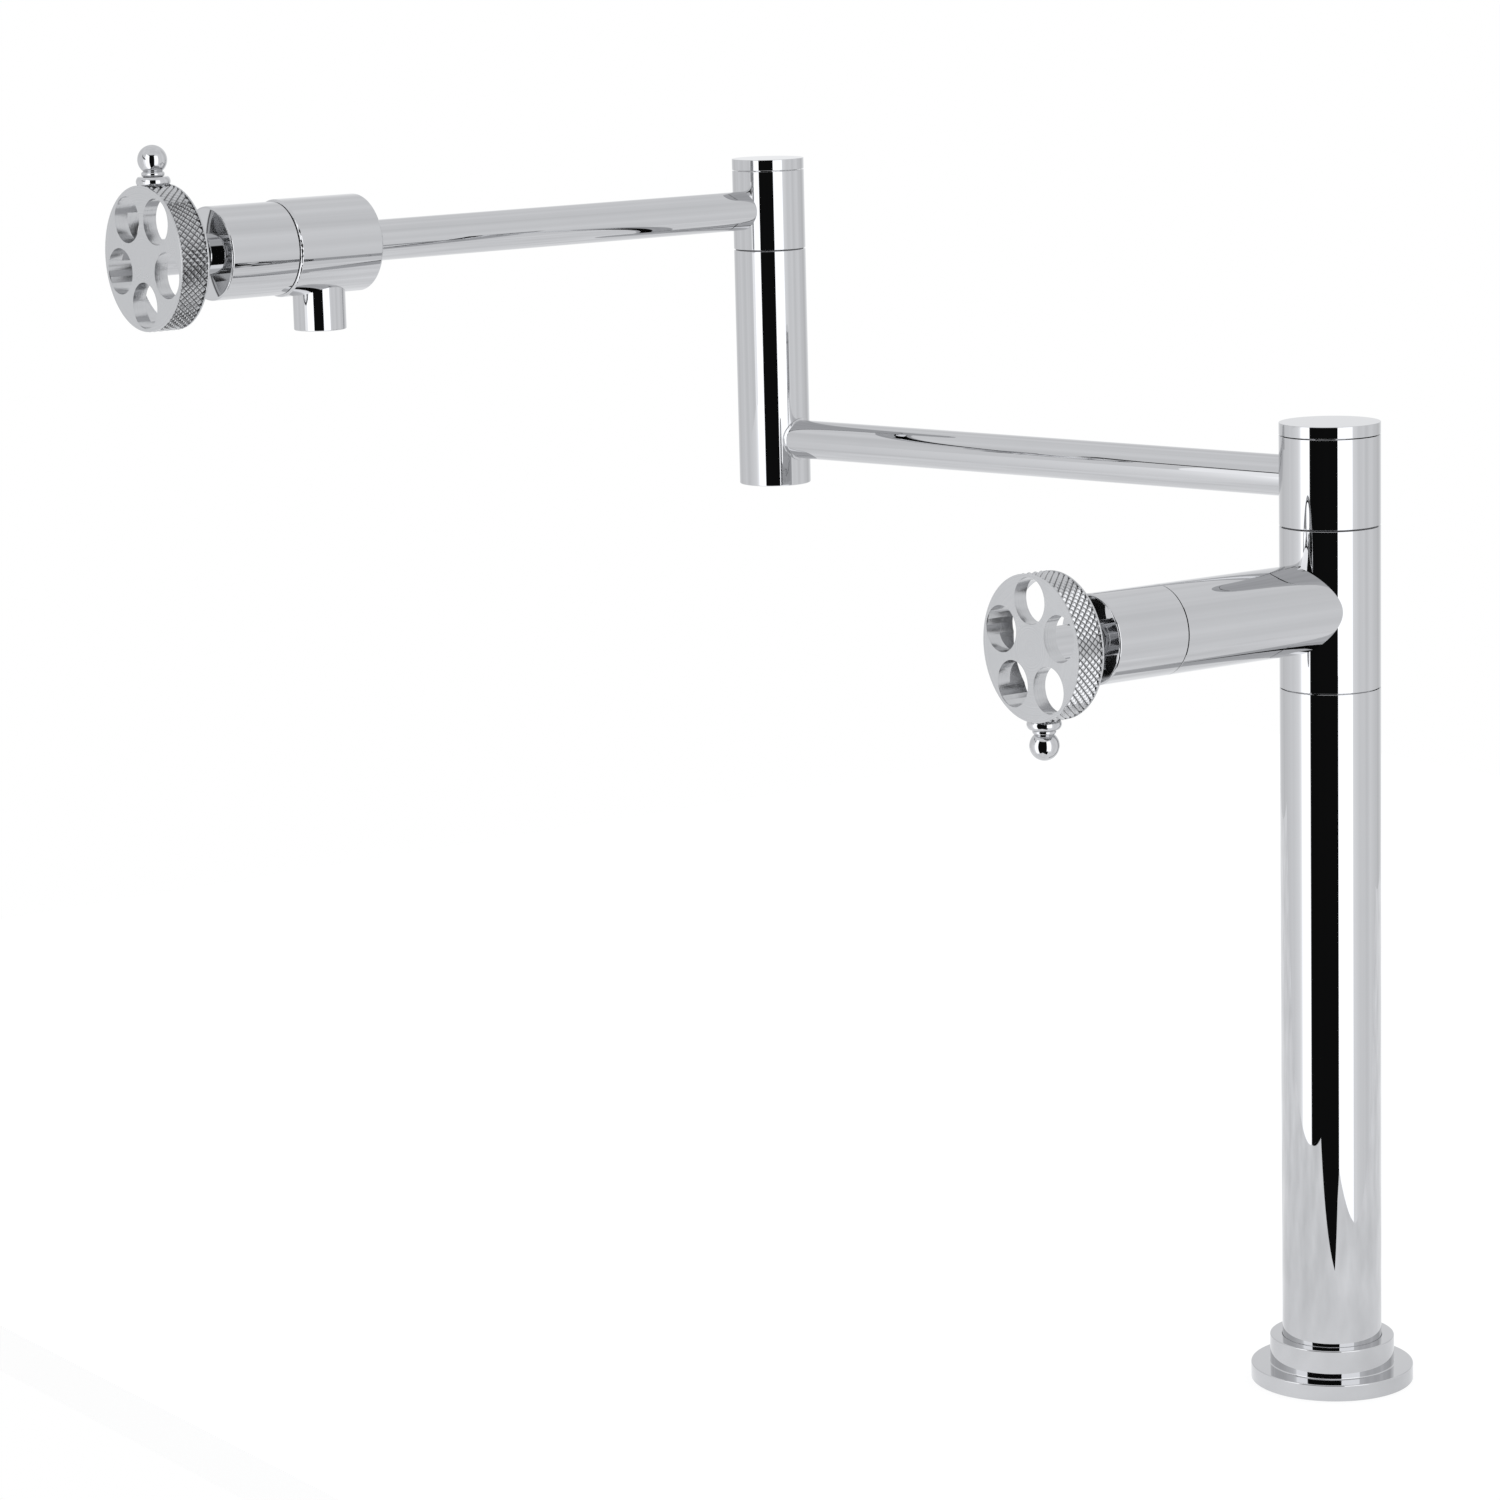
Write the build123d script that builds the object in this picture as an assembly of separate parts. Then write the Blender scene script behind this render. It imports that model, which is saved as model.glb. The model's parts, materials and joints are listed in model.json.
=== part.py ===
from build123d import *
import math
import os

# Deck mount pot filler: a riser column with a knurled handwheel valve on a side branch, a lower
# arm that swings about the column, an elbow post, and an upper arm that swings about the elbow
# and carries the spout with its own handwheel valve. Millimetres, +Z up. The origin is the centre
# of the flange's underside, on the deck. The column's valve branch points along -Y.

# Base on the deck
flange_radius = 31.1
flange_thick = 6.4
collar_radius = 23.8
collar_top = 17.6
flange_floor = 9.6
gasket_inner = 16.0
gasket_outer = 28.5
gasket_thick = 1.6

# Mounting set under the deck
deck_thick = 30.0
shank_radius = 12.0
shank_bottom = -60.0
shank_head_thick = 9.0
shank_boss_radius = 10.5
shank_boss_height = 8.0
inlet_thread_radius = 10.48
inlet_thread_length = 15.0
inlet_socket_radius = 7.5
inlet_socket_depth = 10.0
deck_washer_radius = 25.0
rubber_washer_thick = 3.0
steel_washer_thick = 2.0
nut_across_flats = 36.0
nut_thick = 10.0
nut_chamfer_radius = 18.2
nut_chamfer_height = 1.6

# Column
column_radius = 19.0
riser_wall = 1.5
riser_top = 271.2
body_top = 332.5
head_bottom = 333.0
head_ledge = 361.7
head_top = 366.7
column_cap_top = 371.5
branch_z = 302.3
branch_radius = 16.8
branch_length = 83.7

# Water passages and the supply tube inside the riser
waterway_radius = 5.5
return_radius = 3.0
return_height = 10.0
supply_radius = 7.0
supply_bottom = 14.0
supply_top = 268.0
spigot_plug_depth = 10.0

# Lower arm and elbow
arm_radius = 7.8
arm_bore = 6.3
arm_seat = 3.6
lower_arm_z = 350.0
lower_arm_azimuth = 194.0
lower_arm_length = 272.5
elbow_radius = 14.6
elbow_bottom = 331.4
elbow_bore_bottom = 343.0
elbow_bore_radius = 7.0
elbow_post_top = 427.3
elbow_head_bottom = 427.7
elbow_head_ledge = 454.4
elbow_head_top = 459.4
elbow_cap_top = 464.1
braze_radius = 1.2

# Swivel pins
column_pin_radius = 10.0
column_pin_bore = 6.0
column_pin_foot = 318.0
column_seal_heights = (338.5, 358.5)
column_chamber_radius = 13.0
column_recess_radius = 14.0
elbow_pin_radius = 8.0
elbow_pin_bore = 5.0
elbow_pin_foot = 412.5
elbow_seal_heights = (433.3, 451.6)
elbow_chamber_radius = 11.0
elbow_recess_radius = 12.0
chamber_half_height = 5.5
port_radius = 3.0
pin_end_wall = 8.0
seal_width = 3.0
seal_depth = 1.6
screw_length = 6.0
screw_head_height = 2.0
washer_thick = 1.5
cap_skirt_height = 2.6
cap_skirt_wall = 1.2

# Upper arm and spout
upper_arm_z = 443.5
upper_arm_azimuth = -87.0
spout_body_start = 201.0
spout_seam = 238.0
spout_end = 267.8
spout_body_radius = 18.4
spout_bonnet_radius = 17.6
outlet_along = 219.3
outlet_radius = 10.0
outlet_bottom = 411.6
outlet_throat_radius = 6.5
aerator_radius = 8.5
aerator_bottom = 412.2
aerator_top = 420.6
aerator_washer_top = 422.6
aerator_bore = 7.0
aerator_hole_radius = 1.0
aerator_hole_pitch = 2.9

# Handles, measured outwards from the bonnet's end face
column_bonnet_end = 116.3
bonnet_collar_radius = 7.5
bonnet_collar_length = 3.0
rim_chamfer = 0.5
hub_start = 3.3
hub_radius = 6.8
wheel_back = 15.9
wheel_thick = 12.1
wheel_radius = 27.2
wheel_hole_count = 5
wheel_hole_radius = 8.6
wheel_hole_pitch = 17.3
wheel_web = 5.5
wheel_recess_radius = 24.5
wheel_socket_radius = 5.0
wheel_socket_depth = 3.5
grub_radius = 2.0
grub_along = 9.6
grub_key = 2.0
grub_key_depth = 1.4

# Diamond knurl of the rim
knurl_count = 60
knurl_rows = 8
knurl_depth = 0.6
crest_setback = 0.1
lip_width = 0.65
lip_chamfer = 0.3

# Finial on the rim, measured from the wheel's axis
finial_peg_radius = 1.5
finial_peg_start = 24.0
finial_seat = 26.6
finial_disc_radius = 6.4
finial_disc_edge = 5.6
finial_disc_middle = 28.3
finial_disc_top = 29.9
finial_bead_neck = 3.6
finial_bead_radius = 4.35
finial_bead_middle = 30.9
finial_ball_start = 31.9
finial_ball_radius = 5.5
finial_ball_centre = 36.1

# Quarter-turn ceramic cartridge, measured like the handles, so that it lies behind the face
seat_face = -58.2
housing_bottom = -56.2
fixed_disc_top = -52.2
moving_disc_top = -47.2
foot_top = -44.2
thread_start = -38.2
thread_end = -32.2
bonnet_shoulder = -18.0
bonnet_inside = -3.8
seat_inner = 5.6
seat_outer = 8.8
disc_radius = 9.0
disc_port_radius = 2.0
disc_port_pitch = 6.6
disc_notch_radius = 3.4
disc_notch_pitch = 8.5
housing_radius = 11.5
housing_thread_radius = 14.0
window_width = 7.0
window_height = 4.0
window_along = -48.0
neck_radius = 9.0
bonnet_bore_radius = 14.2
spindle_radius = 4.0
spindle_foot_radius = 5.5
spindle_hole_radius = 4.3
spindle_end = 22.0

# Edges and fits
edge_break = 0.3
running_gap = 0.05
face_gap = 0.05

# The elbow's axis in plan
elbow_x = lower_arm_length * math.cos(math.radians(lower_arm_azimuth))
elbow_y = lower_arm_length * math.sin(math.radians(lower_arm_azimuth))


def level_line(x, y, z, azimuth):
    """Place whose Z runs level along the azimuth and whose X points up."""
    turn = math.radians(azimuth)
    outward = (math.cos(turn), math.sin(turn), 0)
    return Plane(origin=(x, y, z), x_dir=(0, 0, 1), z_dir=outward).location


elbow_axis = Pos(elbow_x, elbow_y, 0)
branch_line = level_line(0, 0, branch_z, -90.0)
lower_arm_line = level_line(0, 0, lower_arm_z, lower_arm_azimuth)
upper_arm_line = level_line(elbow_x, elbow_y, upper_arm_z, upper_arm_azimuth)
outlet_place = upper_arm_line * Pos(0, 0, outlet_along)
outlet_axis = Pos(outlet_place.position.X, outlet_place.position.Y, 0)
column_valve_place = branch_line * Pos(0, 0, column_bonnet_end) * Rot(0, 0, 180)
spout_valve_place = upper_arm_line * Pos(0, 0, spout_end)


def turned(points):
    """Solid of revolution about Z through (radius, height) points."""
    outline = make_face(Polyline(*points, close=True))
    return revolve(Plane.XZ * outline, Axis.Z)


def rod(radius, low, high):
    """Plain cylinder about Z between two heights."""
    return Pos(0, 0, low) * extrude(Circle(radius), high - low)


def ring(inner, outer, low, high):
    """Plain ring about Z between two heights."""
    return turned([(inner, low), (outer, low), (outer, high), (inner, high)])


def broken_drum(radius, low, high):
    """Cylinder about Z whose two rims have a small chamfer."""
    inner = radius - edge_break
    return turned([(0, low), (inner, low), (radius, low + edge_break),
                   (radius, high - edge_break), (inner, high), (0, high)])


def make_base_flange():
    """Round foot plate with a raised collar that holds the foot of the riser tube."""
    return turned([(shank_radius, 0), (gasket_inner, 0), (gasket_inner, gasket_thick),
                   (gasket_outer, gasket_thick), (gasket_outer, 0), (flange_radius, 0),
                   (flange_radius, flange_thick - edge_break),
                   (flange_radius - edge_break, flange_thick), (collar_radius, flange_thick),
                   (collar_radius, collar_top - edge_break),
                   (collar_radius - edge_break, collar_top), (column_radius, collar_top),
                   (column_radius, flange_floor), (shank_radius, flange_floor)])


def make_base_gasket():
    return ring(gasket_inner, gasket_outer, 0, gasket_thick)


def make_mounting_shank():
    bottom = shank_bottom - inlet_thread_length
    riser_bore = column_radius - riser_wall
    head_top_face = flange_floor + shank_head_thick
    boss_top = head_top_face + shank_boss_height
    socket_top = bottom + inlet_socket_depth
    return turned([(inlet_socket_radius, bottom), (inlet_thread_radius, bottom),
                   (inlet_thread_radius, shank_bottom), (shank_radius, shank_bottom),
                   (shank_radius, flange_floor), (riser_bore, flange_floor),
                   (riser_bore, head_top_face), (shank_boss_radius, head_top_face),
                   (shank_boss_radius, boss_top), (supply_radius, boss_top),
                   (supply_radius, supply_bottom), (waterway_radius, supply_bottom),
                   (waterway_radius, socket_top), (inlet_socket_radius, socket_top)])


def make_deck_washer_rubber():
    return ring(shank_radius, deck_washer_radius, -deck_thick - rubber_washer_thick, -deck_thick)


def make_deck_washer_steel():
    top = -deck_thick - rubber_washer_thick
    return ring(shank_radius, deck_washer_radius, top - steel_washer_thick, top)


def make_mounting_nut():
    top = -deck_thick - rubber_washer_thick - steel_washer_thick
    bottom = top - nut_thick
    hexagon = RegularPolygon(nut_across_flats / 2, 6, major_radius=False)
    across_corners = nut_across_flats / math.cos(math.radians(30)) / 2
    envelope = turned([(0, bottom), (nut_chamfer_radius, bottom),
                       (across_corners + 0.1, bottom + nut_chamfer_height),
                       (across_corners + 0.1, top), (0, top)])
    blank = Pos(0, 0, bottom) * extrude(hexagon, nut_thick)
    return (blank & envelope) - rod(shank_radius, bottom, top)


def make_riser_tube():
    bore = column_radius - riser_wall
    return turned([(bore, flange_floor), (column_radius, flange_floor),
                   (column_radius, riser_top - edge_break),
                   (column_radius - edge_break, riser_top), (bore, riser_top)])


def make_supply_tube():
    return ring(waterway_radius, supply_radius, supply_bottom, supply_top)


def make_valve_body():
    """Column middle with the side branch, the inlet and return passages and the pin's socket."""
    plug_bottom = riser_top - spigot_plug_depth
    seat = column_bonnet_end + seat_face
    branch = turned([(0, 0), (branch_radius, 0), (branch_radius, branch_length - edge_break),
                     (branch_radius - edge_break, branch_length), (0, branch_length)])
    body = broken_drum(column_radius, riser_top, body_top) + branch_line * branch
    body += rod(column_radius - riser_wall, plug_bottom, riser_top)
    body -= branch_line * rod(housing_thread_radius, seat, branch_length)
    body -= branch_line * rod(waterway_radius, 0, seat)
    body -= branch_line * Pos(return_height, 0, 0) * rod(return_radius, 0, seat)
    body -= rod(supply_radius, plug_bottom, supply_top)
    body -= rod(waterway_radius, supply_top, branch_z)
    body -= rod(column_pin_bore, branch_z + return_height, column_pin_foot)
    body -= rod(column_pin_radius, column_pin_foot, body_top)
    return body


def make_swivel_pin(radius, bore, foot, top, port_height, seal_heights):
    """Hollow pivot pin with a cross port at the arm's height and a groove for each seal."""
    pin = rod(radius, foot, top) - rod(bore, foot, top - pin_end_wall)
    for height in seal_heights:
        low = height - seal_width / 2
        pin -= ring(radius - seal_depth, radius + 1, low, low + seal_width)
    pin -= Pos(0, 0, port_height) * Rot(0, 90, 0) * Cylinder(port_radius, 2 * radius + 2)
    return pin - rod(screw_radius(radius), top - screw_length, top)


def screw_radius(pin_radius):
    """Thread radius of the retaining screw in the end of a pivot pin."""
    return pin_radius / 4


def make_seals(pin_radius, seal_heights):
    """Two square seals, one in each groove of a pivot pin, clear of the bore that turns on it."""
    rings = []
    for height in seal_heights:
        low = height - seal_width / 2
        rings.append(ring(pin_radius - seal_depth, pin_radius - running_gap, low,
                          low + seal_width))
    return rings[0] + rings[1]


def make_retaining_screw(pin_radius, pin_top):
    """Pan-head screw that holds the washer on the end of a pivot pin."""
    seat = pin_top + washer_thick
    thread = screw_radius(pin_radius)
    return turned([(0, pin_top - screw_length), (thread, pin_top - screw_length), (thread, seat),
                   (2 * thread, seat), (2 * thread, seat + screw_head_height),
                   (0, seat + screw_head_height)])


def make_head(radius, pin_radius, bottom, ledge, top, port_height, chamber_radius, recess_radius):
    """Turning head: a bore on the pivot pin, a water chamber round it and a recess on top."""
    bore = pin_radius + running_gap
    low = port_height - chamber_half_height
    high = port_height + chamber_half_height
    shape = broken_drum(radius, bottom, top)
    shape -= turned([(0, bottom), (bore, bottom), (bore, low), (chamber_radius, low),
                     (chamber_radius, high), (bore, high), (bore, ledge), (recess_radius, ledge),
                     (recess_radius, top), (0, top)])
    return shape


def arm_socket(radius):
    """Cutter for an arm's end let into a round head, and the waterway behind it."""
    seat = radius - arm_seat
    return rod(arm_radius, seat, radius + 1) + rod(arm_bore, seat / 2, seat)


def make_swivel_head():
    head = make_head(column_radius, column_pin_radius, head_bottom, head_ledge, head_top,
                     lower_arm_z, column_chamber_radius, column_recess_radius)
    return head - lower_arm_line * arm_socket(column_radius)


def make_elbow_head():
    head = make_head(elbow_radius, elbow_pin_radius, elbow_head_bottom, elbow_head_ledge,
                     elbow_head_top, upper_arm_z, elbow_chamber_radius, elbow_recess_radius)
    return elbow_axis * head - upper_arm_line * arm_socket(elbow_radius)


def make_cap(radius, skirt_radius, low, high):
    """Flat cap with a short skirt that plugs the recess below it."""
    inner = skirt_radius - cap_skirt_wall
    skirt = ring(inner, skirt_radius, low - cap_skirt_height, low)
    return broken_drum(radius, low, high) + skirt


def make_lower_arm_tube():
    start = column_radius - arm_seat
    end = lower_arm_length - elbow_radius + arm_seat
    return lower_arm_line * ring(arm_bore, arm_radius, start, end)


def make_elbow_post():
    """Round post with a brazed joint for the lower arm and a bore up to the elbow's pin."""
    joint = lower_arm_length - elbow_radius
    post = elbow_axis * broken_drum(elbow_radius, elbow_bottom, elbow_post_top)
    bead = turned([(arm_radius, joint - braze_radius), (arm_radius + braze_radius, joint),
                   (arm_radius + braze_radius, joint + arm_seat), (arm_radius, joint + arm_seat)])
    post += lower_arm_line * bead
    post -= lower_arm_line * rod(arm_radius, joint - braze_radius - 1, joint + arm_seat)
    post -= lower_arm_line * rod(arm_bore, joint + arm_seat, lower_arm_length)
    post -= elbow_axis * rod(elbow_bore_radius, elbow_bore_bottom, elbow_pin_foot)
    post -= elbow_axis * rod(elbow_pin_radius, elbow_pin_foot, elbow_post_top)
    return post


def make_upper_arm_tube():
    start = elbow_radius - arm_seat
    end = spout_body_start + arm_seat
    return upper_arm_line * ring(arm_bore, arm_radius, start, end)


def make_spout_body():
    """Level barrel with the arm's socket, the cartridge's chamber and the outlet below."""
    seat = spout_end + seat_face
    socket_end = spout_body_start + arm_seat
    barrel = turned([(0, spout_body_start), (spout_body_radius - rim_chamfer, spout_body_start),
                     (spout_body_radius, spout_body_start + rim_chamfer),
                     (spout_body_radius, spout_seam - edge_break),
                     (spout_body_radius - edge_break, spout_seam), (0, spout_seam)])
    outlet = turned([(0, outlet_bottom), (outlet_radius - edge_break, outlet_bottom),
                     (outlet_radius, outlet_bottom + edge_break), (outlet_radius, upper_arm_z),
                     (0, upper_arm_z)])
    body = upper_arm_line * barrel + outlet_axis * outlet
    body -= outlet_axis * rod(aerator_radius, outlet_bottom, aerator_washer_top)
    body -= outlet_axis * rod(outlet_throat_radius, aerator_washer_top, upper_arm_z)
    body -= upper_arm_line * rod(arm_radius, spout_body_start, socket_end)
    body -= upper_arm_line * rod(waterway_radius, socket_end, seat)
    body -= upper_arm_line * rod(housing_thread_radius, seat, spout_seam)
    return body


def make_aerator_housing():
    return outlet_axis * ring(aerator_bore, aerator_radius, aerator_bottom, aerator_top)


def make_aerator_insert():
    """Disc with a honeycomb of outlet holes inside the aerator's housing."""
    holes = HexLocations(aerator_hole_pitch / 2, 3, 3)
    plate = Circle(aerator_bore) - [place * Circle(aerator_hole_radius) for place in holes]
    disc = extrude(plate, 5.0)
    return outlet_axis * Pos(0, 0, aerator_bottom + 1.0) * disc


def make_aerator_washer():
    return outlet_axis * ring(outlet_throat_radius, aerator_radius, aerator_top,
                              aerator_washer_top)


def make_bonnet(radius, start):
    """Valve cover screwed on the cartridge's neck, with a short collar round the spindle."""
    return turned([(bonnet_bore_radius, start), (radius - edge_break, start),
                   (radius, start + edge_break), (radius, -rim_chamfer),
                   (radius - rim_chamfer, 0), (bonnet_collar_radius, 0),
                   (bonnet_collar_radius, bonnet_collar_length),
                   (spindle_hole_radius, bonnet_collar_length),
                   (spindle_hole_radius, bonnet_inside), (neck_radius, bonnet_inside),
                   (neck_radius, bonnet_shoulder), (bonnet_bore_radius, bonnet_shoulder)])


def make_cartridge_seat():
    return ring(seat_inner, seat_outer, seat_face, housing_bottom)


def make_cartridge_body():
    """Brass housing: disc chamber with two side windows, mounting thread and spindle neck."""
    chamber = disc_radius + running_gap
    bore = spindle_radius + running_gap
    shoulder = foot_top + 2 * face_gap
    body = turned([(chamber, housing_bottom), (housing_radius, housing_bottom),
                   (housing_radius, thread_start), (housing_thread_radius, thread_start),
                   (housing_thread_radius, thread_end), (neck_radius, thread_end),
                   (neck_radius, bonnet_inside), (bore, bonnet_inside), (bore, shoulder),
                   (chamber, shoulder)])
    window = Box(2 * housing_radius + 2, window_width, window_height)
    return body - Pos(0, 0, window_along) * window


def make_fixed_disc():
    """Ceramic disc with two round ports."""
    ports = [Pos(side * disc_port_pitch, 0) * Circle(disc_port_radius) for side in (-1, 1)]
    disc = Circle(disc_radius) - ports
    return Pos(0, 0, housing_bottom) * extrude(disc, fixed_disc_top - housing_bottom)


def make_moving_disc():
    """Ceramic disc with a notch on each side, a quarter turn from the ports when shut."""
    notches = [Pos(0, side * disc_notch_pitch) * Circle(disc_notch_radius) for side in (-1, 1)]
    disc = Circle(disc_radius - running_gap) - notches
    bottom = fixed_disc_top + face_gap
    return Pos(0, 0, bottom) * extrude(disc, moving_disc_top - bottom)


def make_spindle():
    return turned([(0, moving_disc_top), (spindle_foot_radius, moving_disc_top),
                   (spindle_foot_radius, foot_top), (spindle_radius, foot_top),
                   (spindle_radius, spindle_end), (0, spindle_end)])


def make_hub():
    """Boss behind the wheel's web, with a spigot let into it and a hole for the grub screw."""
    web_back = wheel_back + wheel_thick - wheel_web
    spigot_end = web_back + wheel_socket_depth
    hub = turned([(spindle_radius, hub_start), (hub_radius, hub_start), (hub_radius, web_back),
                  (wheel_socket_radius, web_back), (wheel_socket_radius, spigot_end),
                  (spindle_radius, spigot_end)])
    return hub - grub_place() * Cylinder(grub_radius, 2 * hub_radius, align=UPRIGHT)


def make_grub_screw():
    """Socket set screw in the side of the hub that is turned away from the finial."""
    length = hub_radius - spindle_radius - edge_break
    screw = Pos(0, 0, spindle_radius) * Cylinder(grub_radius, length, align=UPRIGHT)
    key = extrude(RegularPolygon(grub_key / 2, 6, major_radius=False), grub_key_depth)
    key_start = spindle_radius + length - grub_key_depth
    return grub_place() * (screw - Pos(0, 0, key_start) * key)


UPRIGHT = (Align.CENTER, Align.CENTER, Align.MIN)


def grub_place():
    """Place on the hub's axis whose Z points out through the grub screw."""
    return Pos(0, 0, grub_along) * Rot(0, -90, 0)


def knurl_point(count, row, radius, low, high):
    """Point of the rim's lattice: odd rows are half a step round from the even ones."""
    angle = math.radians(360 / knurl_count * (count + 0.5 * (row % 2)))
    height = low + (high - low) * row / knurl_rows
    return (radius * math.cos(angle), radius * math.sin(angle), height)


def make_knurled_drum(low, high):
    """Closed drum whose side is a field of four-sided pyramids between crossing grooves."""
    crest_radius = wheel_radius - crest_setback
    groove_radius = wheel_radius - knurl_depth
    triangles = []
    bottom_edge = []
    top_edge = []
    for row in range(knurl_rows + 1):
        for count in range(knurl_count):
            left = knurl_point(count, row, groove_radius, low, high)
            right = knurl_point(count + 1, row, groove_radius, low, high)
            crest = knurl_point(count + 0.5, row, crest_radius, low, high)
            beside = count + row % 2
            if row < knurl_rows:
                above = knurl_point(beside, row + 1, groove_radius, low, high)
                triangles.append((left, crest, above))
                triangles.append((crest, right, above))
            if row > 0:
                below = knurl_point(beside, row - 1, groove_radius, low, high)
                triangles.append((crest, left, below))
                triangles.append((right, crest, below))
            if row == 0:
                bottom_edge += [left, crest]
            if row == knurl_rows:
                top_edge += [left, crest]
    outlines = triangles + [bottom_edge[::-1], top_edge]
    faces = [Face(Wire.make_polygon([Vector(*point) for point in outline]))
             for outline in outlines]
    return Solid(Shell(faces))


def make_handwheel():
    """Knurled rim with smooth lips round a thinner web, which has a ring of round holes.

    The web is flush with the rim's front, and its back has the socket for the hub. The holes are
    drilled right through, so they scallop the inside of the rim.
    """
    front = wheel_back + wheel_thick
    web_back = front - wheel_web
    inner = wheel_radius - lip_chamfer
    back_lip = turned([(0, wheel_back), (inner, wheel_back),
                       (wheel_radius, wheel_back + lip_chamfer),
                       (wheel_radius, wheel_back + lip_width), (0, wheel_back + lip_width)])
    front_lip = turned([(0, front - lip_width), (wheel_radius, front - lip_width),
                        (wheel_radius, front - lip_chamfer), (inner, front), (0, front)])
    wheel = make_knurled_drum(wheel_back + lip_width, front - lip_width)
    wheel = wheel + back_lip + front_lip
    for number in range(wheel_hole_count):
        turn = 360 / wheel_hole_count * (number + 0.5)
        hole = rod(wheel_hole_radius, wheel_back - 1, front + 1)
        wheel -= Rot(0, 0, turn) * Pos(wheel_hole_pitch, 0, 0) * hole
    wheel -= rod(wheel_recess_radius, wheel_back - 1, web_back)
    wheel -= rod(wheel_socket_radius, web_back, web_back + wheel_socket_depth)
    return wheel - finial_place() * rod(finial_peg_radius, finial_peg_start, wheel_radius + 1)


def finial_place():
    """Place on the wheel's axis, halfway through its rim, whose Z points out to the finial."""
    return Pos(0, 0, wheel_back + wheel_thick / 2) * Rot(0, 90, 0)


def make_finial():
    """Ball on a bead and a rounded disc, seated on the rim by a peg."""
    neck = math.sqrt(finial_ball_radius ** 2 - (finial_ball_centre - finial_ball_start) ** 2)
    seat = (finial_disc_edge, finial_seat)
    disc_end = (finial_disc_edge, finial_disc_top)
    bead_start = (finial_bead_neck, finial_disc_top)
    ball_start = (neck, finial_ball_start)
    tip = (0, finial_ball_centre + finial_ball_radius)
    outline = [Line((0, finial_seat), seat),
               ThreePointArc(seat, (finial_disc_radius, finial_disc_middle), disc_end),
               Line(disc_end, bead_start),
               ThreePointArc(bead_start, (finial_bead_radius, finial_bead_middle), ball_start),
               ThreePointArc(ball_start, (finial_ball_radius, finial_ball_centre), tip),
               Line(tip, (0, finial_seat))]
    knob = finial_place() * revolve(Plane.XZ * make_face(outline), Axis.Z)
    knob -= rod(wheel_radius, wheel_back - 1, wheel_back + wheel_thick + 1)
    return knob + finial_place() * rod(finial_peg_radius, finial_peg_start, finial_seat + 1)


def column_parts():
    """Everything that stays fixed to the deck."""
    pin_top = head_ledge + face_gap
    washer = (screw_radius(column_pin_radius), column_chamber_radius - 0.5)
    parts = {
        "base_flange": make_base_flange(),
        "base_gasket": make_base_gasket(),
        "mounting_shank": make_mounting_shank(),
        "deck_washer_rubber": make_deck_washer_rubber(),
        "deck_washer_steel": make_deck_washer_steel(),
        "mounting_nut": make_mounting_nut(),
        "riser_tube": make_riser_tube(),
        "supply_tube": make_supply_tube(),
        "valve_body": make_valve_body(),
        "column_swivel_pin": make_swivel_pin(column_pin_radius, column_pin_bore,
                                             column_pin_foot, pin_top, lower_arm_z,
                                             column_seal_heights),
        "column_swivel_seals": make_seals(column_pin_radius, column_seal_heights),
        "column_thrust_washer": ring(column_pin_radius, column_radius - 1.0, body_top,
                                     head_bottom - face_gap),
        "column_retaining_washer": ring(*washer, pin_top, pin_top + washer_thick),
        "column_retaining_screw": make_retaining_screw(column_pin_radius, pin_top),
        "column_bonnet": column_valve_place * make_bonnet(branch_radius,
                                                          branch_length - column_bonnet_end),
    }
    return parts | cartridge_parts("column", column_valve_place)


def cartridge_parts(side, place):
    """The pieces of a valve cartridge that don't turn with its handle."""
    return {
        side + "_cartridge_body": place * make_cartridge_body(),
        side + "_cartridge_seat": place * make_cartridge_seat(),
        side + "_fixed_disc": place * make_fixed_disc(),
    }


def handle_parts(side, place):
    """The pieces that turn with one handwheel."""
    return {
        side + "_handwheel": place * make_handwheel(),
        side + "_finial": place * make_finial(),
        side + "_hub": place * make_hub(),
        side + "_grub_screw": place * make_grub_screw(),
        side + "_spindle": place * make_spindle(),
        side + "_moving_disc": place * make_moving_disc(),
    }


def lower_arm_parts():
    """The swivel head, the lower arm and the elbow post with its pivot pin."""
    pin_top = elbow_head_ledge + face_gap
    washer = (screw_radius(elbow_pin_radius), elbow_chamber_radius - 0.5)
    return {
        "swivel_head": make_swivel_head(),
        "column_cap": make_cap(column_radius, column_recess_radius, head_top, column_cap_top),
        "lower_arm_tube": make_lower_arm_tube(),
        "elbow_post": make_elbow_post(),
        "elbow_swivel_pin": elbow_axis * make_swivel_pin(elbow_pin_radius, elbow_pin_bore,
                                                         elbow_pin_foot, pin_top, upper_arm_z,
                                                         elbow_seal_heights),
        "elbow_swivel_seals": elbow_axis * make_seals(elbow_pin_radius, elbow_seal_heights),
        "elbow_thrust_washer": elbow_axis * ring(elbow_pin_radius, elbow_radius - 0.8,
                                                 elbow_post_top, elbow_head_bottom - face_gap),
        "elbow_retaining_washer": elbow_axis * ring(*washer, pin_top, pin_top + washer_thick),
        "elbow_retaining_screw": elbow_axis * make_retaining_screw(elbow_pin_radius, pin_top),
    }


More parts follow.
